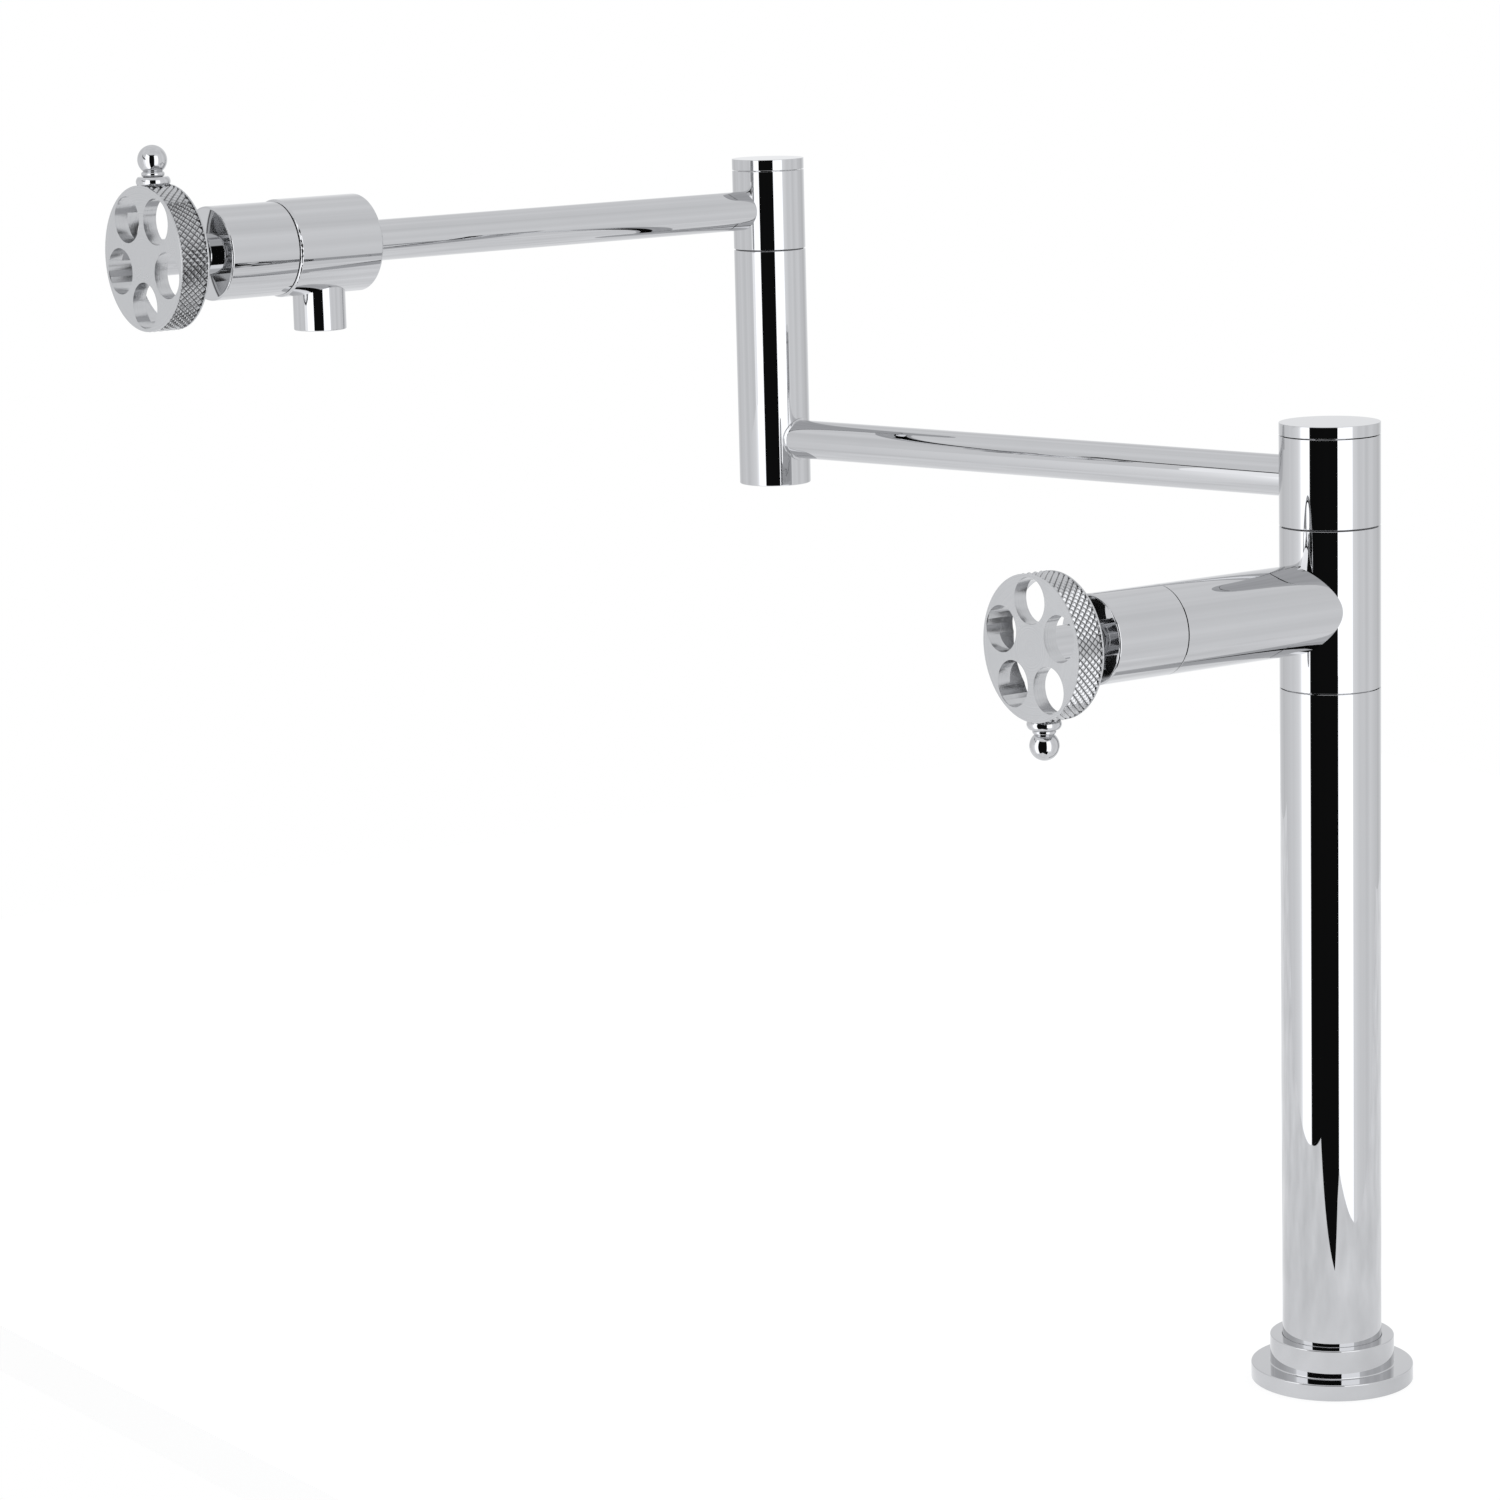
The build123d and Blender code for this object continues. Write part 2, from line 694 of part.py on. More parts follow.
def upper_arm_parts():
    """The elbow head, the upper arm and the spout with its outlet and bonnet."""
    parts = {
        "elbow_head": make_elbow_head(),
        "elbow_cap": elbow_axis * make_cap(elbow_radius, elbow_recess_radius, elbow_head_top,
                                           elbow_cap_top),
        "upper_arm_tube": make_upper_arm_tube(),
        "spout_body": make_spout_body(),
        "aerator_housing": make_aerator_housing(),
        "aerator_insert": make_aerator_insert(),
        "aerator_washer": make_aerator_washer(),
        "spout_bonnet": spout_valve_place * make_bonnet(spout_bonnet_radius,
                                                        spout_seam - spout_end),
    }
    return parts | cartridge_parts("spout", spout_valve_place)


os.makedirs("parts", exist_ok=True)
nodes = column_parts() | lower_arm_parts() | upper_arm_parts()
nodes |= handle_parts("column", column_valve_place) | handle_parts("spout", spout_valve_place)
for name, shape in nodes.items():
    export_step(shape, f"parts/{name}.step")
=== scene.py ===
# %% [markdown]
# # A chrome deck mount pot filler
# A tall round riser stands on a flange and carries a valve on a side branch. A lower arm swings
# about the column, an elbow post stands at its end, and an upper arm swings about the elbow and
# ends in a barrel spout. Both valves have knurled handwheels with ball finials. Nearly every
# surface is polished chrome, which shows only what it mirrors, so this lesson spends its effort
# on clean round meshes, small rounded edges and a studio that is worth mirroring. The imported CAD
# model is the fixed frame, and every size that it can give is measured from it.

import json
import math

import bmesh
import bpy
from mathutils import Matrix, Vector


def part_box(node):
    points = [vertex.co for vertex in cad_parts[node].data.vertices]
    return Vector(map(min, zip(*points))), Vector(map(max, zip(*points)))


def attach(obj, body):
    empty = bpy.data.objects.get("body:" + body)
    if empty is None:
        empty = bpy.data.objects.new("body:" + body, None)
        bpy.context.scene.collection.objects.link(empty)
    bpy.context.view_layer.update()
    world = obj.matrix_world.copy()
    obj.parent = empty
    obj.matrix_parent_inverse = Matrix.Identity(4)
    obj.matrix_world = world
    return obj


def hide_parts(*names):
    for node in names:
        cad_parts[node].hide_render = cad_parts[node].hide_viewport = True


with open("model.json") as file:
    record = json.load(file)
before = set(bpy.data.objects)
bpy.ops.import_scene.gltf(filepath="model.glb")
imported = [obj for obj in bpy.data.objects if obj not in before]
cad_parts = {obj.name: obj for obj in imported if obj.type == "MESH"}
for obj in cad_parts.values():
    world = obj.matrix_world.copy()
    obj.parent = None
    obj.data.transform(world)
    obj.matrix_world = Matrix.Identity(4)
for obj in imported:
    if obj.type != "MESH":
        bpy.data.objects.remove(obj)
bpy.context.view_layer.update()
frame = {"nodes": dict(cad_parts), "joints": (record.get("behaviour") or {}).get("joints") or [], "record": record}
joints = {joint["name"]: joint for joint in frame["joints"]}

# %% [markdown]
# ## Lines to build along
# The object is made of round pieces along five lines: the column, the branch, the two arms and
# the elbow. The joints say where those lines are. A matrix stands a piece that was modelled
# about Z on its line, so each piece can be made upright at the origin, where it is easy.

# %% Lines and measures
UP = Vector((0, 0, 1))
DOWN = -UP


def joint_point(name):
    """Where a joint is, in metres."""
    return Vector(joints[name]["pos_m"])


def place_on(start, line, top):
    """Matrix that turns Z to a line and X to the direction called top."""
    place = Matrix((top, line.cross(top), line)).transposed().to_4x4()
    place.translation = start
    return place


def reach(node, start, line):
    """Nearest and farthest point of a CAD node along a line, from its start."""
    steps = [(vertex.co - start).dot(line) for vertex in frame["nodes"][node].data.vertices]
    return min(steps), max(steps)


def girth(node, start, line):
    """Largest distance of a CAD node from a line."""
    offsets = [vertex.co - start for vertex in frame["nodes"][node].data.vertices]
    return max((offset - offset.dot(line) * line).length for offset in offsets)


origin = Vector((0, 0, 0))
elbow = joint_point("elbow_swivel") * Vector((1, 1, 0))
column_valve_point = joint_point("column_valve_turn")
spout_valve_point = joint_point("spout_valve_turn")
branch_line = Vector(joints["column_valve_turn"]["axis"])
upper_line = Vector(joints["spout_valve_turn"]["axis"])
lower_line = elbow.normalized()
branch_start = Vector((0, 0, column_valve_point.z))
upper_start = elbow + UP * spout_valve_point.z
lower_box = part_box("lower_arm_tube")
lower_start = UP * (lower_box[0].z + lower_box[1].z) / 2
column_radius = girth("riser_tube", origin, UP)
elbow_radius = girth("elbow_cap", elbow, UP)
arm_radius = girth("upper_arm_tube", upper_start, upper_line)
wheel_radius = girth("column_handwheel", column_valve_point, branch_line)
wheel_back, wheel_front = reach("column_handwheel", column_valve_point, branch_line)
knurl_depth = 0.00075
print("column radius", round(column_radius, 4), "arm radius", round(arm_radius, 4))
print("wheel", round(wheel_radius, 4), round(wheel_back, 4), round(wheel_front, 4))

# %% [markdown]
# ## The camera
# The photograph was taken from a little above, from the right of the valve's side, with a long
# lens. Its place and turn were fitted to the outlines of the column, the arms and the wheels.

# %% Camera
camera_place = Vector((1.2932, -1.1764, 0.5753))
camera_right = Vector((0.57847, 0.81531, -0.02517))
camera_down = Vector((0.13493, -0.12608, -0.98280))
camera_lens = 112.13
camera_data = bpy.data.cameras.new("photo_camera")
camera_data.sensor_width = 36.0
camera_data.lens = camera_lens
camera_data.clip_end = 30.0
camera = bpy.data.objects.new("photo_camera", camera_data)
bpy.context.scene.collection.objects.link(camera)
right = camera_right.normalized()
backward = right.cross(-camera_down).normalized()
camera.matrix_world = place_on(camera_place, backward, right)
bpy.context.scene.camera = camera
print("camera looks along", [round(value, 3) for value in -backward])

# %% [markdown]
# ## The studio
# Chrome has no colour of its own. In the photograph each upright tube shows, from left to right,
# pale grey, a white band, a near-black stripe, another white band and pale grey again. So the
# world is a pale grey tent with a dark gap on the camera's side, and two softboxes stand at the
# gap's edges. The world is drawn by direction, once round the horizon and once by height. The
# camera itself sees plain white paper instead.

# %% Studio tones
TENT = 0.97
GAP = 0.007
WHITE = 1.9
# Compass directions in degrees, and the height of the gap's top as the sine of its elevation
gap_left, gap_right = -89.0, -8.0
glow_right = 28.0
gap_top = 0.60
gap_fade = 0.05
edge_blur = 0.8


def grey(value):
    """Grey as a colour, a trace cooler than neutral."""
    return (value * 0.975, value * 0.983, value, 1.0)


print("tent", TENT, "gap", GAP)

# %% [markdown]
# ## Nodes in code
# A studio and a finish are both networks of nodes. One helper adds a node with its settings and
# the values of its inputs, and another draws the wires, so that a network reads as a short list.

# %% Nodes
def add_node(tree, kind, values=None, **settings):
    """New node of a kind, with some of its settings and values for some of its inputs."""
    node = tree.nodes.new(kind)
    for name, setting in settings.items():
        setattr(node, name, setting)
    for name, value in (values or {}).items():
        node.inputs[name].default_value = value
    return node


def wire(tree, *links):
    """Wires, each from a node and its output to the next node and its input."""
    for source, output, target, entry in links:
        tree.links.new(source.outputs[output], target.inputs[entry])


world = bpy.data.worlds.new("studio")
bpy.context.scene.world = world
world.use_nodes = True
sky = world.node_tree
sky.nodes.clear()
print("world", world.name, "starts with", len(sky.nodes), "nodes")

# %% [markdown]
# ## Bands round the horizon
# Arctangent of Y and X gives the compass direction of a ray, and a colour ramp gives each
# direction its tone. The stops were found by tracing the photograph's stripes back from the
# column, the elbow and the outlet. Above the gap the tent closes overhead.

# %% World bands
direction = add_node(sky, "ShaderNodeTexCoord")
split = add_node(sky, "ShaderNodeSeparateXYZ")
azimuth = add_node(sky, "ShaderNodeMath", operation="ARCTAN2")
turn = add_node(sky, "ShaderNodeMapRange", {"From Min": -math.pi, "From Max": math.pi})
bands = add_node(sky, "ShaderNodeValToRGB")
stops = bands.color_ramp.elements
stops[0].color = grey(TENT)
stops[1].color = grey(TENT)
for degrees, value in ((-178, 0.86 * TENT), (-150, TENT), (gap_left - edge_blur, TENT),
                       (gap_left + edge_blur, GAP), (gap_right - edge_blur, GAP),
                       (gap_right + edge_blur, 1.32 * TENT), (glow_right, 1.08 * TENT),
                       (50, TENT), (64, 1.05 * TENT), (97, 0.84 * TENT), (125, TENT),
                       (178, 0.86 * TENT)):
    stops.new((degrees + 180) / 360).color = grey(value)

height_mask = add_node(sky, "ShaderNodeMapRange",
                       {"From Min": gap_top, "From Max": gap_top + gap_fade})
overhead = add_node(sky, "ShaderNodeMix", {"B": grey(TENT)}, data_type="RGBA")
wire(sky,
     (direction, "Generated", split, "Vector"), (split, "Y", azimuth, 0),
     (split, "X", azimuth, 1), (azimuth, "Value", turn, "Value"), (turn, "Result", bands, "Fac"),
     (split, "Z", height_mask, "Value"), (height_mask, "Result", overhead, "Factor"),
     (bands, "Color", overhead, "A"))
print("world bands", len(stops))

# %% [markdown]
# ## Uneven cloth and white paper
# Real tent cloth hangs in faint folds, so a soft noise makes the tone uneven. Light Path then
# sends camera rays to plain white, so the background is white paper, and all other rays to the
# studio.

# %% World shader
folds = add_node(sky, "ShaderNodeMapping", {"Scale": (1.0, 1.0, 0.5)})
cloth_noise = add_node(sky, "ShaderNodeTexNoise", {"Scale": 3.2, "Detail": 3.0})
unevenness = add_node(sky, "ShaderNodeMapRange",
                      {"From Min": 0.3, "From Max": 0.7, "To Min": 0.90, "To Max": 1.06})
studio_light = add_node(sky, "ShaderNodeBackground")
white_paper = add_node(sky, "ShaderNodeBackground", {"Color": (1, 1, 1, 1)})
seen = add_node(sky, "ShaderNodeLightPath")
choose = add_node(sky, "ShaderNodeMixShader")
world_output = add_node(sky, "ShaderNodeOutputWorld")
wire(sky,
     (direction, "Generated", folds, "Vector"), (folds, "Vector", cloth_noise, "Vector"),
     (cloth_noise, "Fac", unevenness, "Value"), (unevenness, "Result", studio_light, "Strength"),
     (overhead, "Result", studio_light, "Color"), (seen, "Is Camera Ray", choose, "Fac"),
     (studio_light, "Background", choose, 1), (white_paper, "Background", choose, 2),
     (choose, "Shader", world_output, "Surface"))
bpy.context.scene.view_settings.view_transform = "Standard"
print("world nodes", len(sky.nodes))

# %% [markdown]
# ## Surface effects
# Polished plate is never perfectly flat: the metal under it carries a long faint wave from the
# polishing wheel, and the surface takes a few soft smudges. Both are the same for every plated
# piece, so they are one node group with its own scale and strength in each material.

# %% Polish group
def make_group(name, numbers, outputs):
    """Node group with a vector input, number inputs with their values, and number outputs."""
    group = bpy.data.node_groups.new(name, "ShaderNodeTree")
    sockets = group.interface
    sockets.new_socket(name="Vector", in_out="INPUT", socket_type="NodeSocketVector")
    for label, value in numbers.items():
        number = sockets.new_socket(name=label, in_out="INPUT", socket_type="NodeSocketFloat")
        number.default_value = value
    for label in outputs:
        sockets.new_socket(name=label, in_out="OUTPUT", socket_type="NodeSocketFloat")
    return group, add_node(group, "NodeGroupInput"), add_node(group, "NodeGroupOutput")


def make_polish_group():
    group, entry, leave = make_group(
        "polished_surface", {"Wave scale": 60.0, "Smudge scale": 40.0, "Smooth": 0.02,
                             "Smudged": 0.05}, ("Roughness", "Wave", "Tint"))
    wave = add_node(group, "ShaderNodeTexNoise", {"Detail": 1.0})
    smudge = add_node(group, "ShaderNodeTexNoise", {"Detail": 5.0, "Distortion": 0.6})
    patches = add_node(group, "ShaderNodeMapRange", {"From Min": 0.48, "From Max": 0.72})
    wire(group,
         (entry, "Vector", wave, "Vector"), (entry, "Wave scale", wave, "Scale"),
         (entry, "Vector", smudge, "Vector"), (entry, "Smudge scale", smudge, "Scale"),
         (smudge, "Fac", patches, "Value"), (entry, "Smooth", patches, "To Min"),
         (entry, "Smudged", patches, "To Max"), (patches, "Result", leave, "Roughness"),
         (wave, "Fac", leave, "Wave"), (smudge, "Fac", leave, "Tint"))
    return group


polished_surface = make_polish_group()
print("group outputs", [item.name for item in polished_surface.interface.items_tree][-3:])

# %% [markdown]
# ## Marks of the lathe and painted shade
# The handwheels are satin. A lathe has left rings on their flats, and a reamer has left rings round
# the walls of the holes. The knurl's grooves get painted shade in their colour, where light goes in
# and does not find its way out. This group takes a wheel's own coordinates and gives the rings as a
# height and the grooves' painted shade as a shade.

# %% Turned marks and painted groove shade group
groove_floor = wheel_radius - knurl_depth
# Painted shade in the knurl's grooves: how far it reaches above the groove floor, and its darkest share
groove_shade = 0.00020
groove_shade_darkest = 0.15
knurl_foot = groove_floor - 0.0006
lip_start = wheel_front - 0.0005
flat_start = wheel_front - 0.00005
ring_scale = 2000.0


def make_rings_and_shade_group():
    group, entry, leave = make_group("lathe_rings_and_groove_shade", {}, ("Rings", "Shade"))
    parts = add_node(group, "ShaderNodeSeparateXYZ")
    flat = add_node(group, "ShaderNodeCombineXYZ")
    radius = add_node(group, "ShaderNodeVectorMath", operation="LENGTH")
    on_flat = add_node(group, "ShaderNodeMath", {1: flat_start}, operation="GREATER_THAN")
    across = add_node(group, "ShaderNodeMix", data_type="FLOAT")
    rings = add_node(group, "ShaderNodeTexNoise", {"Scale": ring_scale, "Detail": 3.0},
                     noise_dimensions="1D")
    # Painted shade: darker towards the knurl's groove floor, but not inside the knurl's foot or on the lips
    groove = add_node(group, "ShaderNodeMapRange",
                      {"From Min": groove_floor, "From Max": groove_floor + groove_shade,
                       "To Min": groove_shade_darkest}, interpolation_type="SMOOTHSTEP")
    inside = add_node(group, "ShaderNodeMath", {1: knurl_foot}, operation="LESS_THAN")
    on_lip = add_node(group, "ShaderNodeMath", {1: lip_start}, operation="GREATER_THAN")
    plain = add_node(group, "ShaderNodeMath", operation="MAXIMUM")
    shade = add_node(group, "ShaderNodeMath", operation="MAXIMUM")
    lines = add_node(group, "ShaderNodeMapRange", {"To Min": 0.90, "To Max": 1.07})
    both = add_node(group, "ShaderNodeMath", operation="MULTIPLY")
    wire(group,
         (entry, "Vector", parts, "Vector"), (parts, "X", flat, "X"), (parts, "Y", flat, "Y"),
         (flat, "Vector", radius, 0), (parts, "Z", on_flat, 0),
         (on_flat, "Value", across, "Factor"), (parts, "Z", across, "A"),
         (radius, "Value", across, "B"), (across, "Result", rings, "W"),
         (rings, "Fac", leave, "Rings"), (radius, "Value", groove, "Value"),
         (radius, "Value", inside, 0), (parts, "Z", on_lip, 0), (inside, "Value", plain, 0),
         (on_lip, "Value", plain, 1), (groove, "Result", shade, 0), (plain, "Value", shade, 1),
         (rings, "Fac", lines, "Value"), (shade, "Value", both, 0), (lines, "Result", both, 1),
         (both, "Value", leave, "Shade"))
    return group


lathe_rings_and_groove_shade = make_rings_and_shade_group()
print("marks nodes", len(lathe_rings_and_groove_shade.nodes))

# %% [markdown]
# ## The finishes
# Each material is a metallic or plain Principled shader. Numbers that are the same all over are
# set on the shader's own sockets, and the group feeds only what changes over the surface.

# %% Material maker
def surface_material(name, low, high, metallic, smooth, smudged, wave_height,
                     wave_scale=60.0, smudge_scale=40.0):
    """Material whose colour goes between two values and whose gloss has faint smudges."""
    material = bpy.data.materials.new(name)
    material.use_nodes = True
    tree = material.node_tree
    shader = tree.nodes["Principled BSDF"]
    shader.inputs["Metallic"].default_value = metallic
    place = add_node(tree, "ShaderNodeTexCoord")
    effect = add_node(tree, "ShaderNodeGroup", node_tree=polished_surface)
    for label, value in (("Wave scale", wave_scale), ("Smudge scale", smudge_scale),
                         ("Smooth", smooth), ("Smudged", smudged)):
        effect.inputs[label].default_value = value
    colour = add_node(tree, "ShaderNodeValToRGB")
    colour.color_ramp.elements[0].color = (*low, 1.0)
    colour.color_ramp.elements[1].color = (*high, 1.0)
    bump = add_node(tree, "ShaderNodeBump", {"Distance": wave_height})
    wire(tree,
         (place, "Object", effect, "Vector"), (effect, "Tint", colour, "Fac"),
         (colour, "Color", shader, "Base Color"), (effect, "Roughness", shader, "Roughness"),
         (effect, "Wave", bump, "Height"), (bump, "Normal", shader, "Normal"))
    return material


print("one maker, with a group of", len(polished_surface.nodes), "nodes")

# %% [markdown]
# ## The wheel's satin
# The wheels need their own coordinates, with Z along each valve's axis. A Mapping node turns
# Object coordinates for each of the two wheels, and the height of a point says which one it is
# on. The lathe's rings go to the bump, and the groove shade darkens the metal.

# %% Wheel material
def wheel_frame(tree, start, line, top):
    """Object coordinates turned so that a wheel's axis is Z, from its bonnet's face."""
    turned = place_on(start, line, top).to_euler()
    local = add_node(tree, "ShaderNodeMapping", {"Location": start, "Rotation": turned},
                     vector_type="TEXTURE")
    wire(tree, (tree.nodes["Texture Coordinate"], "Object", local, "Vector"))
    return local


def wheel_material():
    """Satin chrome with turned rings on flats, reamed rings in holes and painted shade in grooves."""
    material = surface_material("wheel_chrome", (0.535, 0.540, 0.550), (0.565, 0.569, 0.578),
                                1.0, 0.18, 0.28, 0.000010, 200.0, 120.0)
    tree = material.node_tree
    place, effect, colour, bump, shader = [tree.nodes[name] for name in (
        "Texture Coordinate", "Group", "Color Ramp", "Bump", "Principled BSDF")]
    low_wheel = wheel_frame(tree, column_valve_point, branch_line, DOWN)
    high_wheel = wheel_frame(tree, spout_valve_point, upper_line, UP)
    parts = add_node(tree, "ShaderNodeSeparateXYZ")
    higher = add_node(tree, "ShaderNodeMath", {1: (branch_start.z + upper_start.z) / 2},
                      operation="GREATER_THAN")
    local = add_node(tree, "ShaderNodeMix", data_type="VECTOR")
    rings_and_shade = add_node(tree, "ShaderNodeGroup", node_tree=lathe_rings_and_groove_shade)
    # Painted shade: the group's groove shade darkens the wheel's colour
    shade = add_node(tree, "ShaderNodeMix", {"Factor": 1.0}, data_type="RGBA",
                     blend_type="MULTIPLY")
    height = add_node(tree, "ShaderNodeMath", operation="ADD")
    wire(tree,
         (place, "Object", parts, "Vector"), (parts, "Z", higher, 0),
         (higher, "Value", local, "Factor"), (low_wheel, "Vector", local, "A"),
         (high_wheel, "Vector", local, "B"), (local, "Result", rings_and_shade, "Vector"),
         (colour, "Color", shade, "A"), (rings_and_shade, "Shade", shade, "B"),
         (shade, "Result", shader, "Base Color"), (effect, "Wave", height, 0),
         (rings_and_shade, "Rings", height, 1), (height, "Value", bump, "Height"))
    return material


wheel_chrome = wheel_material()
print("wheel nodes", len(wheel_chrome.node_tree.nodes))

# %% [markdown]
# ## All the finishes
# Chrome mirrors only a little over half of the light. So one bounce of the pale tent gives the
# plain greys, and two bounces give the dark crescents where two pieces meet. The pieces inside
# get the metals, rubber, nylon and ceramic that such a tap holds.

# %% Finishes
finishes = {
    "polished_chrome": surface_material("polished_chrome", (0.547, 0.550, 0.562),
                                        (0.569, 0.572, 0.581), 1.0, 0.012, 0.035, 0.000006),
    "wheel_chrome": wheel_chrome,
    "brass": surface_material("brass", (0.62, 0.44, 0.20), (0.78, 0.60, 0.32),
                              1.0, 0.22, 0.40, 0.00002, 500.0, 90.0),
    "steel": surface_material("steel", (0.52, 0.53, 0.54), (0.66, 0.67, 0.68),
                              1.0, 0.24, 0.42, 0.00002, 600.0, 90.0),
    "rubber": surface_material("rubber", (0.018, 0.018, 0.019), (0.045, 0.045, 0.047),
                               0.0, 0.55, 0.80, 0.00006, 900.0, 200.0),
    "nylon": surface_material("nylon", (0.12, 0.12, 0.13), (0.18, 0.18, 0.19),
                              0.0, 0.38, 0.55, 0.00003, 500.0, 120.0),
    "ceramic": surface_material("ceramic", (0.88, 0.86, 0.82), (0.94, 0.93, 0.90),
                                0.0, 0.12, 0.22, 0.00001, 300.0, 90.0),
}
for part in frame["record"]["subparts"]:
    mesh = frame["nodes"][part["node"]].data
    mesh.materials.clear()
    mesh.materials.append(finishes[part["material_slot"]])
print("finishes", sorted(finishes))

# %% [markdown]
# ## Modelling by hand
# Every piece starts as a primitive about Z at the origin and is laid on its line when it is done.
# Before a new primitive is added everything is deselected, because an operator acts on all that
# is selected. A drum with many sides keeps its outline round in a close view.

# %% Drums
SIDES = 192
FINE_SIDES = 256
FEW_SIDES = 96
# How far a cutter reaches past the surface that it goes through
CUT_MARGIN = 0.01
# How far two drums go into each other where they are joined
OVERLAP = 0.001


def only(obj):
    """Selects one object alone and makes it the active one."""
    bpy.ops.object.select_all(action="DESELECT")
    obj.select_set(True)
    bpy.context.view_layer.objects.active = obj


def add_drum(name, radius, low, high, sides=SIDES):
    """Cylinder about Z between two heights."""
    bpy.ops.object.select_all(action="DESELECT")
    bpy.ops.mesh.primitive_cylinder_add(vertices=sides, radius=radius, depth=high - low,
                                        location=(0, 0, (low + high) / 2))
    obj = bpy.context.object
    obj.name = name
    obj.data.name = name
    bpy.ops.object.transform_apply(location=True, rotation=False, scale=False)
    return obj


print("sides", FEW_SIDES, SIDES, FINE_SIDES)

# %% [markdown]
# ## Faces and edges by their place
# In a script nothing is clicked, so faces are chosen by a test on their centre and normal, and
# edges by a test of their own. Push then extrudes the faces, and a tube is a drum whose two ends
# are inset and bridged through.

# %% Faces and tubes
# Least share of a normal along Z on a face that counts as level
LEVEL = 0.9


def pick_faces(obj, test):
    """In edit mode, selects just the faces whose centre and normal pass a test."""
    bpy.ops.mesh.select_mode(type="FACE")
    bpy.ops.mesh.select_all(action="DESELECT")
    mesh = bmesh.from_edit_mesh(obj.data)
    for face in mesh.faces:
        if test(face.calc_center_median(), face.normal):
            face.select_set(True)
    bmesh.update_edit_mesh(obj.data)


def pick_edges(obj, test):
    """In edit mode, selects just the edges that pass a test."""
    bpy.ops.mesh.select_mode(type="EDGE")
    bpy.ops.mesh.select_all(action="DESELECT")
    mesh = bmesh.from_edit_mesh(obj.data)
    for edge in mesh.edges:
        if test(edge):
            edge.select_set(True)
    bmesh.update_edit_mesh(obj.data)


def push(distance):
    """Extrudes the selected faces along Z."""
    bpy.ops.mesh.extrude_region_move(TRANSFORM_OT_translate={"value": (0, 0, distance)})


def add_tube(name, outer, inner, low, high, sides=SIDES):
    """Drum with a bore right through: both ends are inset, and the insets are bridged."""
    obj = add_drum(name, outer, low, high, sides)
    only(obj)
    bpy.ops.object.mode_set(mode="EDIT")
    pick_faces(obj, lambda centre, normal: abs(normal.z) > LEVEL)
    bpy.ops.mesh.inset(thickness=outer - inner)
    bpy.ops.mesh.bridge_edge_loops()
    bpy.ops.object.mode_set(mode="OBJECT")
    return obj


print("a face is level from", LEVEL)

# %% [markdown]
# ## Drawing with a vertex
# A profile or an outline starts as one vertex: a tiny plane is merged to its centre, put at the
# first point, and extruded from point to point.

# %% Drawn lines
TINY = 0.00002


def draw_line(name, points):
    """Piece in edit mode that is one line through some points."""
    bpy.ops.object.select_all(action="DESELECT")
    bpy.ops.mesh.primitive_plane_add(size=TINY, location=(0, 0, 0))
    obj = bpy.context.object
    obj.name = name
    obj.data.name = name
    bpy.ops.object.mode_set(mode="EDIT")
    bpy.ops.mesh.select_mode(type="VERT")
    bpy.ops.mesh.select_all(action="SELECT")
    bpy.ops.mesh.merge(type="CENTER")
    pen = Vector(points[0])
    bpy.ops.transform.translate(value=pen)
    for point in points[1:]:
        move = Vector(point) - pen
        bpy.ops.mesh.extrude_region_move(TRANSFORM_OT_translate={"value": move})
        pen = Vector(point)
    bpy.ops.mesh.select_all(action="SELECT")
    return obj


print("a line starts from a plane of", TINY)

# %% [markdown]
# ## Turned pieces
# A lathe makes most of this object. Here a drawn profile is spun about Z. Merging the doubles
# closes the seam and the poles, and the normals are then made to point outwards, since spin can
# turn them.

# %% Turned pieces
def add_turned(name, outline, sides=SIDES):
    """Solid spun about Z from a drawn profile of (radius, height) points."""
    obj = draw_line(name, [(radius, 0, height) for radius, height in outline])
    bpy.ops.mesh.spin(steps=sides, angle=2 * math.pi, center=(0, 0, 0), axis=(0, 0, 1))
    bpy.ops.mesh.select_all(action="SELECT")
    bpy.ops.mesh.remove_doubles(threshold=0.000001)
    bpy.ops.mesh.normals_make_consistent(inside=False)
    bpy.ops.object.mode_set(mode="OBJECT")
    return obj


def arc_points(centre, radius, start, end, count):
    """Points of an arc in a profile, between two angles in degrees."""
    angles = [math.radians(start + (end - start) * step / count) for step in range(count + 1)]
    return [(centre[0] + radius * math.cos(angle), centre[1] + radius * math.sin(angle))
            for angle in angles]


print("an arc has", len(arc_points((0, 0), 1, 0, 90, 6)), "points")

# %% [markdown]
# ## Joining, rounding and handing over
# Booleans join and cut, and a drill is a drum that is cut away. Bevel gives each rim its small
# rounding, and Weighted Normal keeps long walls true in the mirror. Every finished piece keeps its
# place in its mesh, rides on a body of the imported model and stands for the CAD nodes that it
# replaces.

# %% Finishing steps
# Angle in degrees from which an edge stays sharp where drums have been joined
JOINED = 18.0


def modify(obj, kind, **settings):
    """Adds a modifier with its settings and applies it."""
    modifier = obj.modifiers.new(kind.lower(), kind)
    for name, setting in settings.items():
        setattr(modifier, name, setting)
    only(obj)
    bpy.ops.object.modifier_apply(modifier=modifier.name)


def combine(obj, tool, operation):
    """Boolean of two pieces that uses up the second."""
    modify(obj, "BOOLEAN", operation=operation, solver="EXACT", object=tool)
    bpy.data.objects.remove(tool)


def move_to(obj, place):
    """Puts a piece at its place and keeps that in its mesh."""
    only(obj)
    obj.matrix_world = place
    bpy.ops.object.transform_apply(location=True, rotation=True, scale=True)


